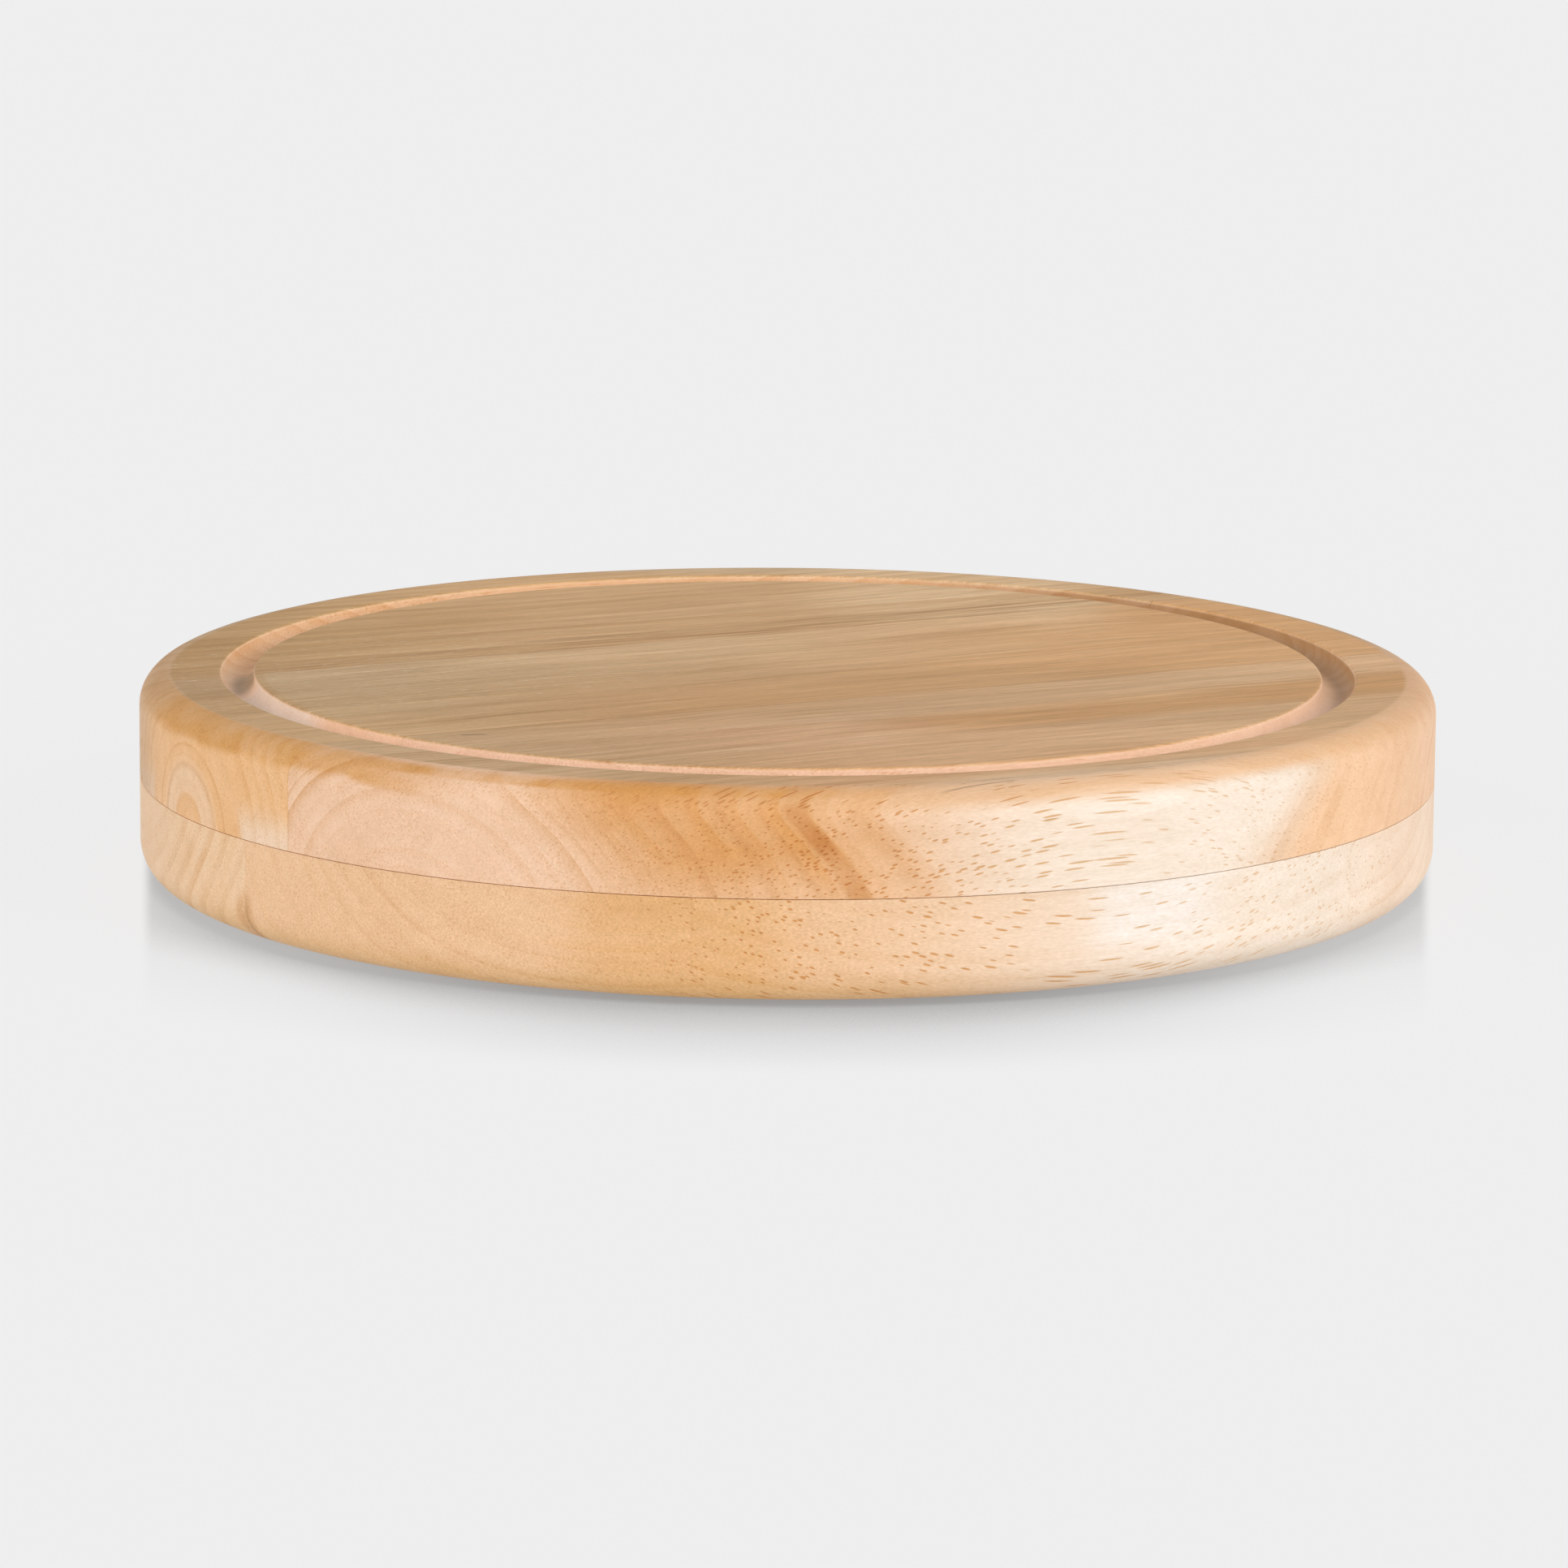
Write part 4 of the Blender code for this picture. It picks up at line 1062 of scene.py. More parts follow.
def handle_radius(distance):
    """Half the handle's width at a distance from the ferrule: a cosine swell, then a full round butt.

    neck + (full - neck) * (1 - cos(pi d / fullest)) / 2 up to the fullest place, and past it
    full * (1 - share^n)^(1/n), where share goes from 0 there to 1 at the butt.
    """
    neck, full = HANDLE_NECK / 2, HANDLE_WIDTH / 2
    swell = neck + (full - neck) * (1 - np.cos(math.pi * distance / HANDLE_FULLEST)) / 2
    share = np.clip((distance - HANDLE_FULLEST) / (HANDLE_LENGTH - HANDLE_FULLEST), 0.0, 1.0)
    butt = full * (1 - share**BUTT_FULLNESS) ** (1 / BUTT_FULLNESS)
    return np.where(distance < HANDLE_FULLEST, swell, butt)


def laid_along(name, profile, y):
    """A profile (r, x) turned about the tool's axis and flattened to the handle's thickness."""
    flat = HANDLE_THICKNESS / HANDLE_WIDTH
    angle = circle(TURNED_STEPS)
    radius, along = profile[:, 0][:, None], profile[:, 1][:, None]
    points = np.stack(
        (along + 0.0 * angle, y + radius * np.cos(angle), HANDLE_AXIS + flat * radius * np.sin(angle)),
        axis=-1,
    )
    return surface(name, points, cells_of(len(profile), TURNED_STEPS))


def slot_cutter(name, start, end, y):
    """The tang's slot from one x to the other, a rounded bar."""
    half = TANG_WIDTH / 2 + TOUCH_GAP
    low, high = BLADE_BOTTOM - TOUCH_GAP, BLADE_TOP + TOUCH_GAP
    outline = outline_of(
        [(start, y - half, 0.0), (end, y - half, 0.0002), (end, y + half, 0.0002), (start, y + half, 0.0)]
    )
    return stacked(name, outline, [(0.0, low), (0.0, high)])


def handle_shape(tool, y):
    """A handle with its tenon and the tang's slot; its rows crowd towards the butt's end."""
    swell = np.linspace(0.0, HANDLE_FULLEST, 44)
    butt = (HANDLE_LENGTH - HANDLE_FULLEST) * np.sin(np.linspace(0.0, math.pi / 2, 34))[1:]
    distances = np.concatenate((swell, HANDLE_FULLEST + butt))
    body = np.column_stack((handle_radius(distances), FERRULE_BACK_X + distances))
    ease = 0.0004
    body = np.vstack(
        (
            [(TENON_RADIUS, FERRULE_BACK_X), (HANDLE_NECK / 2 - ease, FERRULE_BACK_X)],
            [(HANDLE_NECK / 2 - 0.3 * ease, FERRULE_BACK_X + 0.3 * ease)],
            body[body[:, 1] > FERRULE_BACK_X + ease],
        )
    )
    front = FERRULE_BACK_X - TENON_LENGTH
    tenon = np.array([(0.0, front), (TENON_RADIUS - ease, front), (TENON_RADIUS, front + ease)])
    handle = laid_along(tool + "_handle_turned", np.vstack((tenon, body)), y)
    slot = slot_cutter("slot", front - CUT_OVERRUN, FERRULE_FRONT_X + TANG_LENGTH + TOUCH_GAP, y)
    return cut(handle, slot)


def ferrule_shape(tool, y):
    """A drawn cap: a rolled rim at the back, two fine crimps, a cone to a rounded nose, hollow inside."""
    back = FERRULE_BACK_X - TOUCH_GAP
    front = FERRULE_FRONT_X
    outer = HANDLE_NECK / 2
    seat = FERRULE_BACK_X - TENON_LENGTH - TOUCH_GAP
    roll = 0.00035
    share = np.linspace(0.0, 1.0, 9)
    dip = outer - CRIMP_DEPTH * np.sin(math.pi * share)
    crimps = [np.column_stack((dip, back - place - CRIMP_WIDTH * share)) for place in (0.0014, 0.0026)]
    nose = FERRULE_NOSE_ROUND
    profile = np.vstack(
        (
            [(FERRULE_INNER, back - roll)],
            arc((outer - roll, back - roll), (roll, roll), 90, 0, 5),
            *crimps,
            line((outer, back - 0.0040), (FERRULE_NOSE, front + nose), 6),
            arc((FERRULE_NOSE - nose, front + nose), (nose, nose), 0, -90, 6),
            line((FERRULE_NOSE - nose - 0.0006, front), (0.0, front), 2),
            [(0.0, (seat + front) / 2), (FERRULE_NOSE - 0.0010, (seat + front) / 2)],
            [(FERRULE_INNER, seat), (FERRULE_INNER, back - roll)],
        )
    )
    ferrule = laid_along(tool + "_ferrule_drawn", profile, y)
    slot = slot_cutter("slot", front - CUT_OVERRUN, FERRULE_BACK_X - TENON_LENGTH / 2, y)
    return cut(ferrule, slot)


def blade_shape(tool, y, upper, lower, end, edges):
    """A ground blade on a grid: t runs from tang to tip and s from the lower side to the upper.

    u = the end's reach at s times t's share, v = lower(u) + (upper(u) - lower(u)) * s, and the thickness
    falls from full to the cutting edge's over the ground width along the edges that are sharpened.
    """
    across, along, tang_rows = 41, 130, 14
    neck, tang_taper, round_edge, thinnest = 0.0003, 0.004, 0.00018, 0.0002
    share = (1 - np.cos(np.linspace(0.0, math.pi, across))) / 2
    reach = end(share)
    blade_t = np.linspace(0.0, 1.0, along) ** 0.9
    u_blade = neck + (reach[None, :] - neck) * blade_t[:, None]
    low, high = lower(u_blade), upper(u_blade)
    v_blade = low + (high - low) * share[None, :]
    tang_half = TANG_WIDTH / 2
    u_tang = np.repeat(np.linspace(-TANG_LENGTH, neck, tang_rows)[:, None], across, axis=1)
    taper = np.clip((u_tang + TANG_LENGTH) / tang_taper, 0.0, 1.0)
    v_tang = (2 * share[None, :] - 1) * tang_half * (0.70 + 0.30 * np.sqrt(taper))
    u = np.vstack((u_tang, u_blade))
    v = np.vstack((v_tang, v_blade))
    inset_low = np.vstack((v_tang + tang_half, v_blade - low))
    inset_high = np.vstack((tang_half - v_tang, high - v_blade))
    thickness = edges(u, inset_low, inset_high)
    nearest = np.minimum(inset_low, inset_high)
    dip = round_edge * (1 - np.sqrt(1 - np.clip(1 - nearest / round_edge, 0.0, 1.0) ** 2))
    top = BLADE_BOTTOM + np.maximum(thickness - dip, thinnest)
    bottom = BLADE_BOTTOM + np.minimum(dip, thickness * 0.4)
    x = FERRULE_FRONT_X - u
    upper_side = np.stack((x, y + v, top), axis=-1)
    lower_side = np.stack((x, y + v, bottom), axis=-1)
    loop = np.concatenate((upper_side, lower_side[:, ::-1]), axis=1)
    rows, columns = loop.shape[:2]
    faces = cells_of(rows, columns)
    ends = np.concatenate((end_faces(across, columns, 0), end_faces(across, columns, rows - 1)))
    return surface(tool + "_blade_ground", loop, np.vstack((faces, ends)))


def end_faces(across, columns, row):
    """The strip of faces that closes one end of a blade's loop."""
    place = np.arange(across - 1)
    first = row * columns
    last = first + columns - 1
    return np.stack((first + place, first + place + 1, last - 1 - place, last - place), -1)


def eased_steps(u, places, halves, soft):
    """A half width that goes through (place, half) in straight runs, each corner softened over a length."""
    total = 0.0
    offsets = np.linspace(-soft, soft, 9)
    for offset in offsets:
        total = total + np.interp(u + offset, places, halves)
    return total / len(offsets)


# Operators


def board_settings():
    return bpy.context.scene.cheese_board_sizes, bpy.context.scene.cheese_board_colours


class CHEESE_OT_stage(bpy.types.Operator):
    """Camera, floor, world and lamps."""

    bl_idname = "cheese_board.stage"
    bl_label = "Camera and stage"

    def execute(self, context):
        add_camera()
        add_floor()
        add_world()
        add_lamps()
        return {"FINISHED"}


def add_camera():
    """The camera at the photograph's viewing angle, with its slight roll."""
    data = bpy.data.cameras.new("camera")
    data.sensor_width = 36.0
    data.lens = CAMERA_LENS
    camera = linked("camera", data)
    camera.location = CAMERA_PLACE
    aim = Euler((math.pi / 2 - CAMERA_PITCH, 0.0, -CAMERA_YAW)).to_matrix()
    camera.rotation_euler = (aim @ Matrix.Rotation(CAMERA_ROLL, 3, "Z")).to_euler()
    bpy.context.scene.camera = camera


BACKGROUND = 0.85
FLOOR_WHITE = 0.30
FLOOR_SEEN_WHITE = 0.08
FLOOR_GLOW = 0.80
FLOOR_UPLIGHT = 0.38
FLOOR_DROP = 0.0002
SHADE_REACH = 0.055


def add_floor():
    """A large pale floor. Camera and mirror rays see an even pale grey that darkens close under the board.

    It lies a hair below the board, and from beneath the camera sees through it.
    """
    size = 14.0
    steps = 9
    across = np.linspace(-size, size, steps)
    x, y = np.meshgrid(across, across)
    points = np.stack((x, y, 0.0 * x - FLOOR_DROP), axis=-1)
    floor = surface("floor", points, cells_of(steps, steps, closed_columns=False))
    if floor.data.polygons[0].normal.z < 0.0:
        floor.data.flip_normals()
    paint = Paint("pale_floor")
    x, y, _ = paint.place()
    cloud = 0.995 + 0.01 * paint.noise(x / 400.0, y / 400.0, 0.0)
    path = paint.node("ShaderNodeLightPath")
    camera, glossy = (Value(paint, path.outputs[name]) for name in ("Is Camera Ray", "Is Glossy Ray"))
    through = Value(paint, path.outputs["Is Transmission Ray"])
    seen = paint.math("MAXIMUM", paint.math("MAXIMUM", camera, glossy), through)
    open_sky = paint.node("ShaderNodeAmbientOcclusion", {"samples": 4}, {"Distance": SHADE_REACH})
    open_sky = Value(paint, open_sky.outputs["AO"])
    close = paint.math("MINIMUM", open_sky, open_sky * 1.8 - 0.61)
    shade = 1.0 - paint.math("MAXIMUM", close, 0.36)
    offset = paint.math("ABSOLUTE", x)
    aside = paint.smooth(offset, 20.0, 115.0)
    side = (1.0 - aside * (1.0 - paint.smooth(shade, 0.05, 0.55))) * (1.0 - aside * 0.32)
    side = side * (1.0 - 0.15 * paint.smooth(x, 60.0, 120.0))
    open_sky = 1.0 - shade * side * paint.smooth(offset - y * 0.082, 130.2, 127.4)
    sides = []
    for white, strength in ((FLOOR_WHITE, FLOOR_UPLIGHT), (FLOOR_SEEN_WHITE, open_sky * FLOOR_GLOW)):
        tone = paint.scaled((1.0, 1.0, 1.0), cloud * white)
        matt = paint.node("ShaderNodeBsdfDiffuse", None, {"Color": tone})
        glow = paint.node("ShaderNodeEmission", None, {"Color": (1.0, 1.0, 1.0), "Strength": strength})
        both = paint.node("ShaderNodeAddShader", None, {0: matt.outputs[0], 1: glow.outputs[0]})
        sides.append(both.outputs[0])
    chosen = paint.node("ShaderNodeMixShader", None, {0: seen, 1: sides[0], 2: sides[1]})
    below = Value(paint, paint.node("ShaderNodeNewGeometry").outputs["Backfacing"]) * camera
    clear = paint.node("ShaderNodeBsdfTransparent")
    chosen = paint.node("ShaderNodeMixShader", None, {0: below, 1: chosen.outputs[0], 2: clear.outputs[0]})
    paint.node("ShaderNodeOutputMaterial", None, {"Surface": chosen.outputs[0]})
    floor.data.materials.append(paint.material)


def add_world():
    """Soft light from all round, brighter near the horizon. The camera sees the plain background.

    Mirror rays that go high see it too, so that the steel has a bright sky to show.
    """
    world = bpy.data.worlds.new("studio")
    world.use_nodes = True
    bpy.context.scene.world = world
    paint = Paint("studio", world.node_tree)
    coordinates = paint.node("ShaderNodeTexCoord")
    split = paint.node("ShaderNodeSeparateXYZ", None, {0: coordinates.outputs["Generated"]})
    height = Value(paint, split.outputs[2])
    light = paint.smooth(height, 1.0, 0.0) * 0.26 + 0.31
    lit = paint.node("ShaderNodeBackground", None, {"Color": (1.0, 1.0, 1.0), "Strength": light})
    plain = paint.node("ShaderNodeBackground", None, {"Color": (1.0, 1.0, 1.0), "Strength": BACKGROUND})
    path = paint.node("ShaderNodeLightPath")
    camera, glossy = (Value(paint, path.outputs[name]) for name in ("Is Camera Ray", "Is Glossy Ray"))
    seen = paint.math("MAXIMUM", camera, glossy * paint.smooth(height, 0.35, 0.80))
    chosen = paint.node("ShaderNodeMixShader", None, {0: seen, 1: lit.outputs[0], 2: plain.outputs[0]})
    paint.node("ShaderNodeOutputWorld", None, {"Surface": chosen.outputs[0]})


LAMP_SPREAD = math.radians(50.0)
LAMPS = (
    ("key_right", 65.0, 20.0, 1.46),
    ("fill_front", -8.0, 18.0, 0.69),
    ("fill_left", -62.0, 18.0, 0.92),
)


def add_lamps():
    """Three broad soft suns, each as (name, azimuth from the camera to the right, elevation, strength)."""
    for name, azimuth, elevation, strength in LAMPS:
        data = bpy.data.lights.new(name, "SUN")
        data.energy = strength
        data.angle = LAMP_SPREAD
        lamp = linked(name, data)
        a, e = math.radians(azimuth), math.radians(elevation)
        toward = Vector((math.sin(a) * math.cos(e), -math.cos(a) * math.cos(e), math.sin(e)))
        lamp.rotation_euler = toward.to_track_quat("Z", "Y").to_euler()


# The boards' woods: angles in degrees, the rest in millimetres, with a ring as (radius, shade, width)
UPPER_WOOD = {
    "turn": 27.5,
    "joints": ((-35.0, 0.0), (39.0, 0.0)),
    "joint_depths": (0.45, 0.55),
    "staves": (
        Stave(
            colour=(0.89, 0.56, 0.33), pith_v=-63.0, pith_w=10.0, lean=0.0, late=0.10, early=0.10, seed=0.35,
            rings=(
                (18.5, 0.18, 0.0), (24.1, 0.22, 0.0), (31.0, 0.72, 0.0), (33.1, 0.72, 0.0), (35.4, 0.44, 0.0),
                (37.2, 0.40, 0.0), (39.1, 0.42, 0.0), (45.3, 0.30, 0.4), (48.3, 0.16, 0.0), (51.4, 0.25, 0.8),
                (54.9, 0.42, 0.0), (58.4, 0.76, 1.5), (62.3, 0.30, 0.8),
            ),
        ),
        Stave(
            colour=(0.90, 0.52, 0.24), pith_v=2.0, pith_w=19.0, lean=0.0, late=0.07, early=0.08, seed=0.1,
            rings=(
                (3.8, 0.24, 0.3), (6.2, 0.16, 0.0), (9.9, 0.30, 0.9), (11.6, 0.14, 0.0), (13.6, 0.34, 0.3),
                (19.5, 0.12, 0.6), (24.9, 0.22, 0.0), (28.4, 0.12, 0.0), (31.9, 0.20, 0.0),
            ),
        ),
        Stave(
            colour=(0.86, 0.56, 0.31), pith_v=20.0, pith_w=-40.0, lean=0.0, late=0.45, early=0.10, seed=0.6,
            rings=(),
        ),
    ),
    "spacing": 3.6,
    "streak": 0.55,
    "grit": 0.34,
    "bend": -0.38,
    "vessels": (0.68, 15.0, 0.27),
    "top": UPPER_TOP,
    "face_starts": (5.6, 6.8),
    "marked": upper_marked,
    "pored": upper_pored,
    "face_share": 0.85,
    "tints": UPPER_TINTS,
}

LOWER_WOOD = {
    "turn": 27.5,
    "joints": ((-109.8, -0.053), (-21.5, 0.0)),
    "joint_depths": (0.18, 0.16),
    "staves": (
        Stave(
            colour=(0.86, 0.53, 0.29), pith_v=-140.0, pith_w=60.0, lean=0.0, late=0.14, early=0.05, seed=0.2,
            rings=(),
        ),
        Stave(
            colour=(0.89, 0.56, 0.32), pith_v=-104.0, pith_w=51.0, lean=-0.1, late=0.05, early=0.06, seed=0.7,
            rings=(
                (34.0, 0.08, 0.0), (42.4, 0.22, 0.0), (47.1, 0.38, 0.0), (51.5, 0.10, 0.5), (55.7, 0.16, 0.4),
            ),
        ),
        Stave(
            colour=(0.92, 0.61, 0.36), pith_v=45.0, pith_w=50.5, lean=0.0, late=0.08, early=0.16, seed=0.45,
            rings=(
                (45.5, 0.20, 0.9), (50.7, 0.30, 1.4), (55.6, 0.34, 1.8), (60.3, 0.34, 1.8), (65.7, 0.25, 1.4),
                (71.5, 0.25, 1.4),
            ),
        ),
    ),
    "spacing": 3.9,
    "streak": 0.45,
    "grit": 0.46,
    "bend": 0.38,
    "vessels": (0.92, 14.0, 0.25),
    "top": LOWER_TOP,
    "face_starts": (0.1, 0.5),
    "marked": lower_marked,
    "pored": lower_pored,
    "face_share": 0.35,
    "tints": LOWER_TINTS,
}


class CHEESE_OT_upper_board(bpy.types.Operator):
    """The upper board: rounded top edge, juice groove and the insert's hole underneath."""

    bl_idname = "cheese_board.upper_board"
    bl_label = "Upper board"

    def execute(self, context):
        sizes, colours = board_settings()
        board = turned("upper_board_turned", upper_profile(sizes), BOARD_STEPS)
        top = INSERT_HIGH.z + TOUCH_GAP
        hole = INSERT_RADIUS + TOUCH_GAP
        cut(board, round_cutter("hole", hole, UPPER_BOTTOM - CUT_OVERRUN, top, MOUTH_EASE, True))
        wood = board_wood("upper_rubberwood", colours, UPPER_WOOD)
        dressed(board, wood, "lid", "upper_board")
        return {"FINISHED"}


class CHEESE_OT_lower_board(bpy.types.Operator):
    """The lower board with its tray of pockets, the finger trough and the pivot's stepped bore."""

    bl_idname = "cheese_board.lower_board"
    bl_label = "Lower board"

    def execute(self, context):
        sizes, colours = board_settings()
        board = turned("lower_board_carved", lower_profile(sizes), BOARD_STEPS)
        cutters = []
        for tool in TOOLS:
            y = tool_y(tool)
            cutters.append(pocket(tool + "_room", handle_room(y), TRAY_FLOOR, sizes))
            room = blade_room(*BLADE_ROOMS[tool], y)
            cutters.append(pocket(tool + "_blade_room", room, BLADE_BOTTOM - TOUCH_GAP, sizes))
        x = BUTT_X - HANDLE_LENGTH / 2
        half = FINGER_WIDTH / 2
        trough = mirrored([(x + half, FINGER_REACH, half), (x - half, FINGER_REACH, half)], 0.0)
        cutters.append(pocket("finger_room", outline_of(trough), FINGER_FLOOR, sizes))
        top = LOWER_TOP + CUT_OVERRUN
        seat = FLANGE_BOTTOM - TOUCH_GAP
        cutters.append(round_cutter("flange_seat", FLANGE_RADIUS + TOUCH_GAP, seat, top, MOUTH_EASE))
        cutters.append(
            round_cutter(
                "counterbore", COUNTERBORE_RADIUS, -CUT_OVERRUN, COUNTERBORE_FLOOR, COUNTERBORE_EASE, True
            )
        )
        cutters.append(round_cutter("bushing_hole", BUSHING_RADIUS + TOUCH_GAP, -CUT_OVERRUN, top))
        cut(board, *cutters)
        wood = board_wood("lower_rubberwood", colours, LOWER_WOOD)
        dressed(board, wood, "base", "lower_board")
        return {"FINISHED"}


def ring_section(inner, outer, bottom, top, ease):
    """A washer's section with all four corners rounded."""
    radii = (ease, ease)
    return np.vstack(
        (
            arc((inner + ease, top - ease), radii, 180, 90, 3),
            arc((outer - ease, top - ease), radii, 90, 0, 3),
            arc((outer - ease, bottom + ease), radii, 0, -90, 3),
            arc((inner + ease, bottom + ease), radii, -90, -180, 3),
        )
    )


def thread_rows(outer, depth, bottom, top, pitch):
    """The rows (r, z) of a screw thread, with r = outer - depth * |2 * frac(z / pitch - t / 2 pi) - 1|."""
    rows = int(round((top - bottom) / pitch * THREAD_ROWS)) + 1
    level = np.linspace(bottom, top, rows)[:, None]
    angle = circle(THREAD_STEPS)
    phase = (level / pitch - angle / (2 * math.pi)) % 1.0
    fade = np.clip((top - level) / THREAD_TAPER, 0.0, 1.0)
    radius = outer - depth * np.abs(2 * phase - 1) - (1 - fade) * THREAD_TAPER
    return np.stack((radius, level + 0.0 * angle), axis=-1)


class CHEESE_OT_pivot(bpy.types.Operator):
    """The pivot: shouldered bolt, steel washer, brass bushing, nylon glide washer and brass insert."""

    bl_idname = "cheese_board.pivot"
    bl_label = "Pivot"

    def execute(self, context):
        sizes, colours = board_settings()
        steel = brushed_steel("turned_stainless", colours, along=False)
        brass = turned_brass("turned_brass", colours)
        nylon = moulded_nylon("moulded_nylon", colours)
        bolt = bolt_shape(sizes)
        dressed(bolt, steel, "lid", "pivot_bolt")
        insert = insert_shape(sizes)
        dressed(insert, brass, "lid", "threaded_insert")
        bushing = turned("pivot_bushing_flanged", bushing_section(), TURNED_STEPS, PIVOT_Y, closed=True)
        dressed(bushing, brass, "base", "pivot_bushing")
        washers = (("glide_washer", nylon, "nylon"), ("bolt_washer", steel, "stainless_steel"))
        for node, finish, slot in washers:
            low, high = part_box(node)
            section = ring_section(BUSHING_BORE, high.x, low.z, high.z, TURNED_EASE)
            washer = turned(node + "_eased", section, TURNED_STEPS, PIVOT_Y, closed=True)
            dressed(washer, finish, "base", node)
        return {"FINISHED"}


def bolt_shape(sizes):
    """A low round head with a hex socket, the shoulder that turns in the bushing, and a helical thread."""
    shoulder_top = UPPER_BOTTOM - TOUCH_GAP
    ease, small, relief = 0.0006, TURNED_EASE, 0.0006
    undercut = THREAD_RADIUS - relief
    below = np.vstack(
        (
            [(0.0, HEAD_BOTTOM)],
            line((SHOULDER_RADIUS, HEAD_BOTTOM), (HEAD_RADIUS - ease, HEAD_BOTTOM), 2),
            arc((HEAD_RADIUS - ease, HEAD_BOTTOM + ease), (ease, ease), -90, 0, 5)[1:],
            arc((HEAD_RADIUS - small, HEAD_TOP - small), (small, small), 0, 90, 3),
            [(SHOULDER_RADIUS + small, HEAD_TOP), (SHOULDER_RADIUS, HEAD_TOP + small)],
            [(SHOULDER_RADIUS, shoulder_top - small), (SHOULDER_RADIUS - small, shoulder_top)],
            [(undercut, shoulder_top), (undercut, shoulder_top + relief - small)],
        )
    )
    start = shoulder_top + relief
    thread = thread_rows(THREAD_RADIUS, THREAD_DEPTH, start, BOLT_HIGH.z, sizes.thread_pitch)
    tip = np.array([(0.0, BOLT_HIGH.z)])
    below, tip = (np.repeat(part[:, None], THREAD_STEPS, axis=1) for part in (below, tip))
    grid = np.concatenate((below, thread, tip))
    points = about_axis(grid[..., 0], grid[..., 1], circle(THREAD_STEPS), PIVOT_Y)
    bolt = surface("pivot_bolt_threaded", points, cells_of(len(grid), THREAD_STEPS))
    round_corner, mouth = 0.00015, MOUTH_EASE
    angles = [math.radians(60 * k) for k in range(6)]
    places = [(SOCKET_RADIUS * math.cos(a), PIVOT_Y + SOCKET_RADIUS * math.sin(a)) for a in angles]
    corners = [(x, y, round_corner) for x, y in places]
    rings = [(mouth, -CUT_OVERRUN), (mouth, HEAD_BOTTOM), (0.0, HEAD_BOTTOM + mouth)]
    rings.append((0.0, HEAD_BOTTOM + SOCKET_DEPTH))
    return cut(bolt, stacked("hex", outline_of(corners, 30.0), rings))


def insert_shape(sizes):
    """A press-in insert: barbs that widen towards its mouth, fine knurling on them, and a threaded bore."""
    bottom, top = INSERT_LOW.z, INSERT_HIGH.z
    rows = 150
    knurls = 24
    level = np.linspace(top, bottom, rows)[:, None]
    angle = circle(TURNED_STEPS)
    share = ((top - level) / ((top - bottom) / INSERT_BARBS)) % 1.0
    barb = np.where(share < 0.8, share / 0.8, np.clip((1.0 - share) / 0.08, 0.0, 1.0))
    knurl = KNURL_DEPTH * (0.5 + 0.5 * np.cos(knurls * angle)) * barb
    outside = INSERT_RADIUS - BARB_DEPTH * (1.0 - barb) - knurl
    bore_level = level[::-1]
    phase = (bore_level / sizes.thread_pitch - angle / (2 * math.pi)) % 1.0
    bore = INSERT_BORE + BORE_THREAD_DEPTH * np.abs(2 * phase - 1)
    points = about_axis(np.concatenate((outside, bore)), np.concatenate((level, bore_level)), angle, PIVOT_Y)
    return surface("threaded_insert_knurled", points, cells_of(2 * rows, TURNED_STEPS, closed_rows=True))


def bushing_section():
    """The bushing's section: a tube with an eased foot and a flange on its top."""
    ease = TURNED_EASE
    radii = (ease, ease)
    foot = 2 * ease
    return np.vstack(
        (
            arc((BUSHING_BORE + ease, FLANGE_TOP - ease), radii, 180, 90, 3),
            arc((FLANGE_RADIUS - ease, FLANGE_TOP - ease), radii, 90, 0, 3),
            arc((FLANGE_RADIUS - ease, FLANGE_BOTTOM + ease), radii, 0, -90, 3),
            [(BUSHING_RADIUS + ease, FLANGE_BOTTOM), (BUSHING_RADIUS, FLANGE_BOTTOM - ease)],
            arc((BUSHING_RADIUS - foot, COUNTERBORE_FLOOR + foot), (foot, foot), 0, -90, 4),
            arc((BUSHING_BORE + ease, COUNTERBORE_FLOOR + ease), radii, -90, -180, 3),
        )
    )


class CHEESE_OT_tools(bpy.types.Operator):
    """The four cheese tools: handles, ferrules and blades."""

    bl_idname = "cheese_board.tools"
    bl_label = "Cheese tools"

    def execute(self, context):
        _, colours = board_settings()
        steel = brushed_steel("brushed_stainless", colours, along=True)
        blades = {
            "chisel_knife": chisel_blade,
            "fork_knife": fork_blade,
            "cheese_plane": plane_blade,
            "spade_knife": spade_blade,
        }
        for seed, tool in enumerate(TOOLS):
            y = tool_y(tool)
            wood = handle_wood(tool + "_rubberwood", colours, y, seed)
            dressed(handle_shape(tool, y), wood, tool, tool + "_handle")
            dressed(ferrule_shape(tool, y), steel, tool, tool + "_ferrule")
            dressed(blades[tool](tool, y), steel, tool, tool + "_blade")
        return {"FINISHED"}


def flat_end(share):
    """A straight end across the blade."""
    return np.full_like(share, BLADE_LENGTH)


def full_thickness(u, inset_low, inset_high):
    return np.full_like(u, BLADE_THICKNESS)


def ground_along(u, inset, start, width, thickness):
    """The thickness of a blade that is ground over a width along its edge, from a place on to the tip."""
    along = np.clip((u - start) / GRIND_RUN, 0.0, 1.0)
    edge = np.clip(1.0 - inset / width, 0.0, 1.0) * along
    return BLADE_THICKNESS - edge * (BLADE_THICKNESS - thickness)


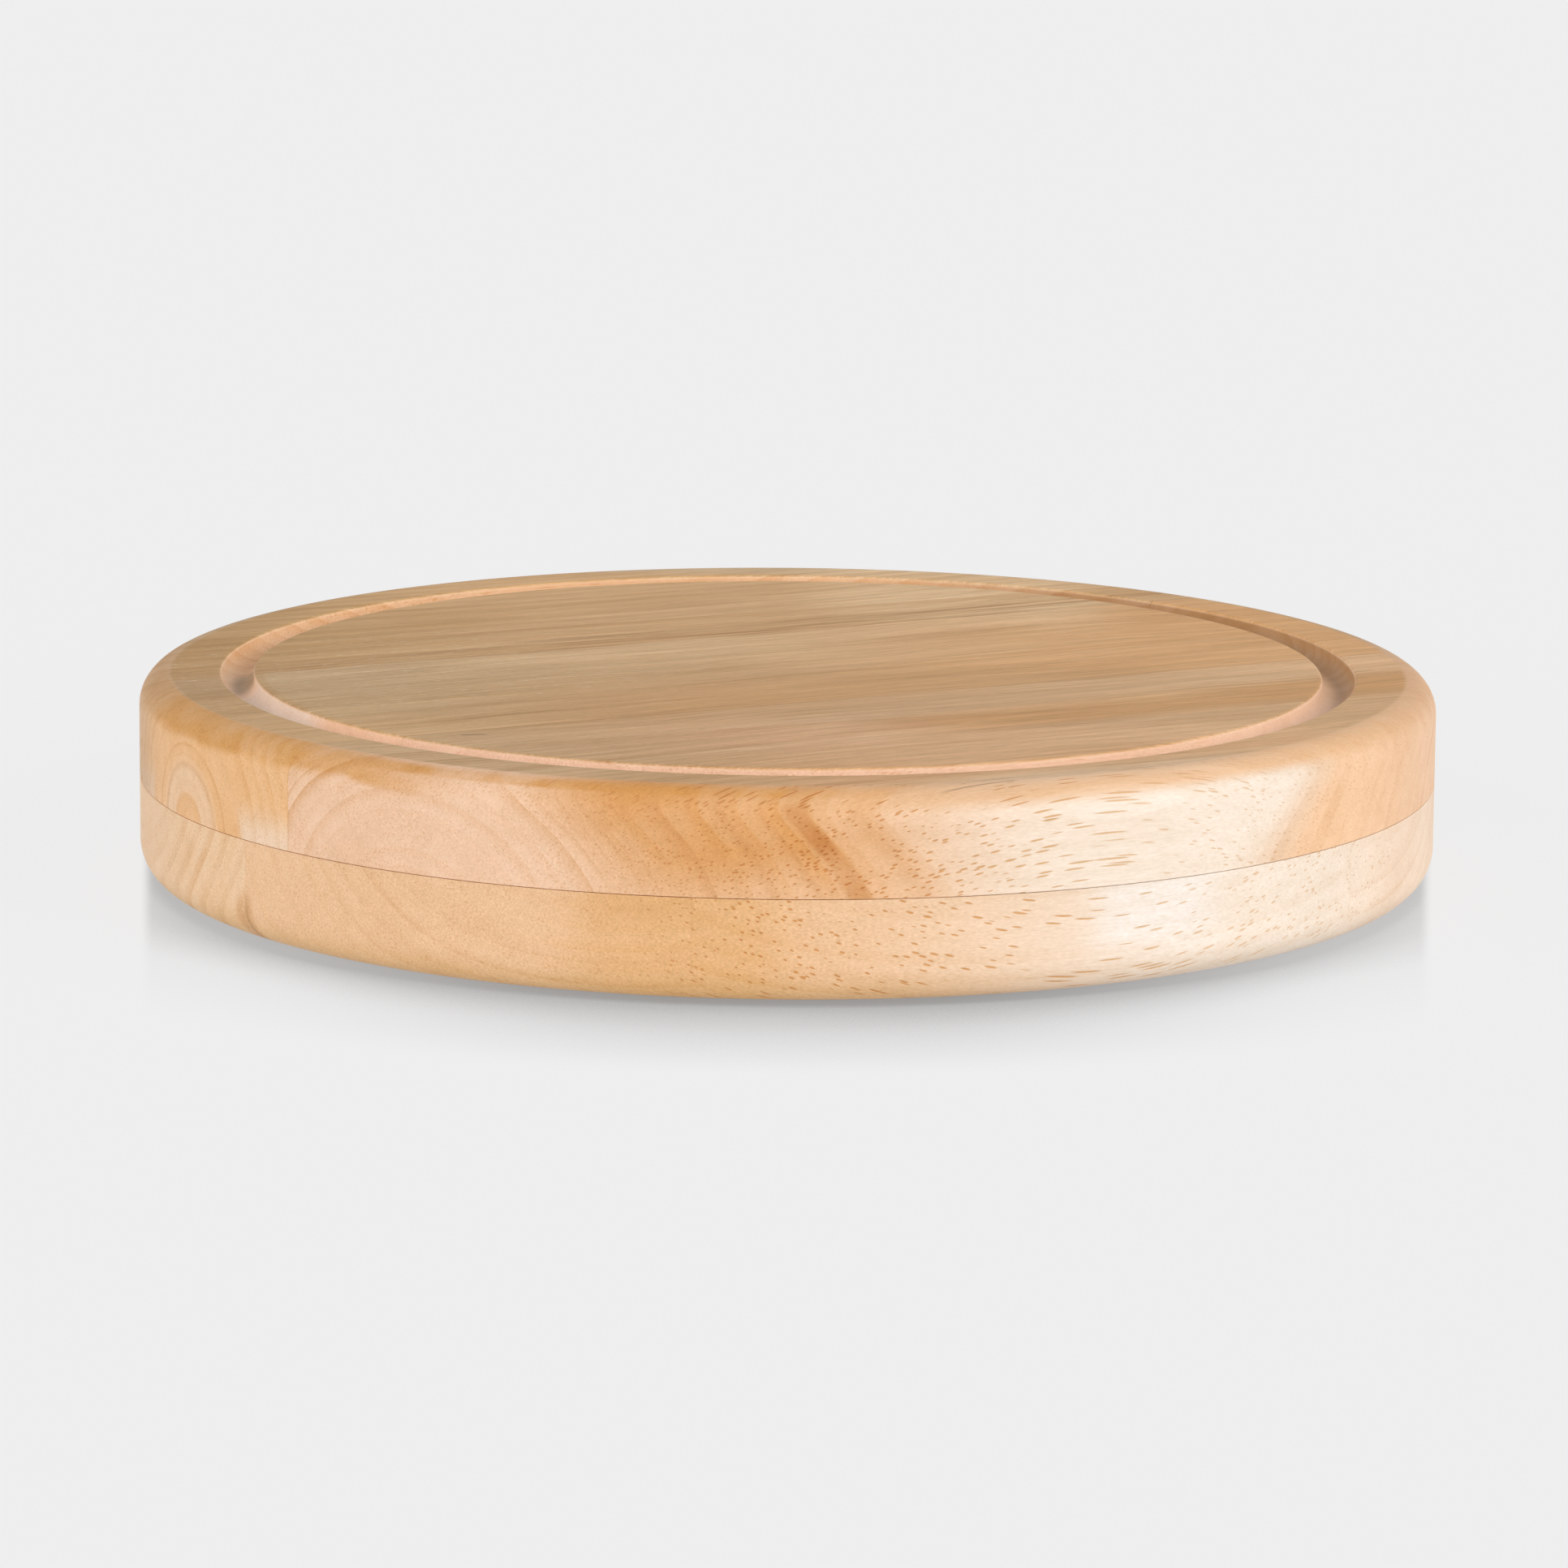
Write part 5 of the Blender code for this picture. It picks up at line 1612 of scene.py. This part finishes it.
def chisel_blade(tool, y):
    """A straight taper to one wide cutting edge, ground on its upper face."""

    def half(u):
        places = (0.0, NECK_LENGTH, CHISEL_SHOULDER, BLADE_LENGTH + 0.01)
        return eased_steps(u, places, (NECK_HALF, NECK_HALF, 0.01144, 0.01342), 0.004)

    def ground(u, inset_low, inset_high):
        grind = np.clip((u - (BLADE_LENGTH - GRIND_LENGTH)) / GRIND_LENGTH, 0.0, 1.0)
        return BLADE_THICKNESS - grind * (BLADE_THICKNESS - CUTTING_EDGE)

    return blade_shape(tool, y, half, lambda u: -half(u), flat_end, ground)


def fork_blade(tool, y):
    """A straight spine and a belly that rises to two prongs, with a ground belly."""

    def spine(u):
        places = (0.0, NECK_LENGTH, FORK_SHOULDER, 0.047, BLADE_LENGTH)
        halves = (NECK_HALF, NECK_HALF, FORK_HALF, FORK_HALF, FORK_HALF + PRONG_RISE)
        return eased_steps(u, places, halves, 0.003)

    def belly(u):
        places = (0.0, NECK_LENGTH, FORK_SHOULDER, 0.046, 0.0535, BLADE_LENGTH)
        return -eased_steps(u, places, (NECK_HALF, NECK_HALF, FORK_HALF, 0.0072, 0.0052, -0.0005), 0.003)

    def prongs(share):
        return np.interp(share, (0.0, 0.12, 0.62, 0.92, 1.0), (0.0565, 0.0597, 0.0545, 0.0615, BLADE_LENGTH))

    def ground(u, inset_low, inset_high):
        return ground_along(u, inset_low, 0.017, 0.0035, 0.0003)

    return blade_shape(tool, y, spine, belly, prongs, ground)


def plane_blade(tool, y):
    """A broad blade with rounded corners, a slot, and the lip behind it that lifts the slice."""
    corner_radius = 0.007
    slot_round = 0.0012

    def half(u):
        places = (0.0, NECK_LENGTH, PLANE_SHOULDER, BLADE_LENGTH + 0.01)
        straight = eased_steps(u, places, (NECK_HALF, NECK_HALF, PLANE_HALF, PLANE_HALF), 0.003)
        corner = np.clip((u - (BLADE_LENGTH - corner_radius)) / corner_radius, 0.0, 1.0)
        return np.minimum(straight, PLANE_HALF - corner_radius * (1 - np.sqrt(1 - corner**2)))

    blade = blade_shape(tool, y, half, lambda u: -half(u), flat_end, full_thickness)
    points = np.empty(len(blade.data.vertices) * 3)
    blade.data.vertices.foreach_get("co", points)
    points = points.reshape(-1, 3)
    past = FERRULE_FRONT_X - points[:, 0] - PLANE_SLOT_END
    swell = np.clip(1.0 - past / PLANE_LIP_LENGTH, 0.0, 1.0) * (past > -0.0004)
    side = np.clip((PLANE_SLOT_HALF - np.abs(points[:, 1] - y)) / slot_round, 0.0, 1.0)
    points[:, 2] += PLANE_LIP_RISE * swell * side * side * (3 - 2 * side)
    blade.data.vertices.foreach_set("co", points.ravel())
    ends = (FERRULE_FRONT_X - PLANE_SLOT_START, FERRULE_FRONT_X - PLANE_SLOT_END)
    slot = outline_of(mirrored([(x, PLANE_SLOT_HALF, slot_round) for x in ends], y))
    levels = (BLADE_BOTTOM - CUT_OVERRUN, BLADE_TOP + CUT_OVERRUN)
    return cut(blade, stacked("slot", slot, [(0.0, level) for level in levels]))


def spade_blade(tool, y):
    """A broad almond shape that draws in to a point, ground along both sides."""

    def half(u):
        places = (0.0, NECK_LENGTH, SPADE_SHOULDER, SPADE_CHEEK, BLADE_LENGTH + 0.0005)
        straight = eased_steps(u, places, (NECK_HALF, NECK_HALF, SPADE_HALF, 0.01164, 0.0), 0.004)
        nose = np.sqrt(np.clip(1 - (np.clip(u - 0.060, 0.0, None) / 0.002) ** 2, 0.0, 1.0))
        return np.maximum(straight * np.clip(nose, 0.02, 1.0), 0.0001)

    def ground(u, inset_low, inset_high):
        return ground_along(u, np.minimum(inset_low, inset_high), 0.020, 0.0030, CUTTING_EDGE)

    return blade_shape(tool, y, half, lambda u: -half(u), flat_end, ground)


OPERATORS = (
    CHEESE_OT_stage,
    CHEESE_OT_upper_board,
    CHEESE_OT_lower_board,
    CHEESE_OT_pivot,
    CHEESE_OT_tools,
)


class CHEESE_PT_panel(bpy.types.Panel):
    """Lists the steps that build the cheese board."""

    bl_idname = "CHEESE_PT_panel"
    bl_label = "Cheese board"
    bl_space_type = "VIEW_3D"
    bl_region_type = "UI"
    bl_category = "Cheese board"

    def draw(self, context):
        for step in OPERATORS:
            self.layout.operator(step.bl_idname)
        for group in (context.scene.cheese_board_sizes, context.scene.cheese_board_colours):
            for key in group.__annotations__:
                self.layout.prop(group, key)


CLASSES = (CheeseBoardSizes, CheeseBoardColours, *OPERATORS, CHEESE_PT_panel)


def register():
    for cls in CLASSES:
        bpy.utils.register_class(cls)
    bpy.types.Scene.cheese_board_sizes = bpy.props.PointerProperty(type=CheeseBoardSizes)
    bpy.types.Scene.cheese_board_colours = bpy.props.PointerProperty(type=CheeseBoardColours)


def unregister():
    del bpy.types.Scene.cheese_board_colours
    del bpy.types.Scene.cheese_board_sizes
    for cls in reversed(CLASSES):
        bpy.utils.unregister_class(cls)


def main():
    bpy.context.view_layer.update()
    register()
    bpy.ops.cheese_board.stage()
    bpy.ops.cheese_board.upper_board()
    bpy.ops.cheese_board.lower_board()
    bpy.ops.cheese_board.pivot()
    bpy.ops.cheese_board.tools()
    bpy.context.scene.view_settings.view_transform = "Standard"


if __name__ == "__main__":
    main()
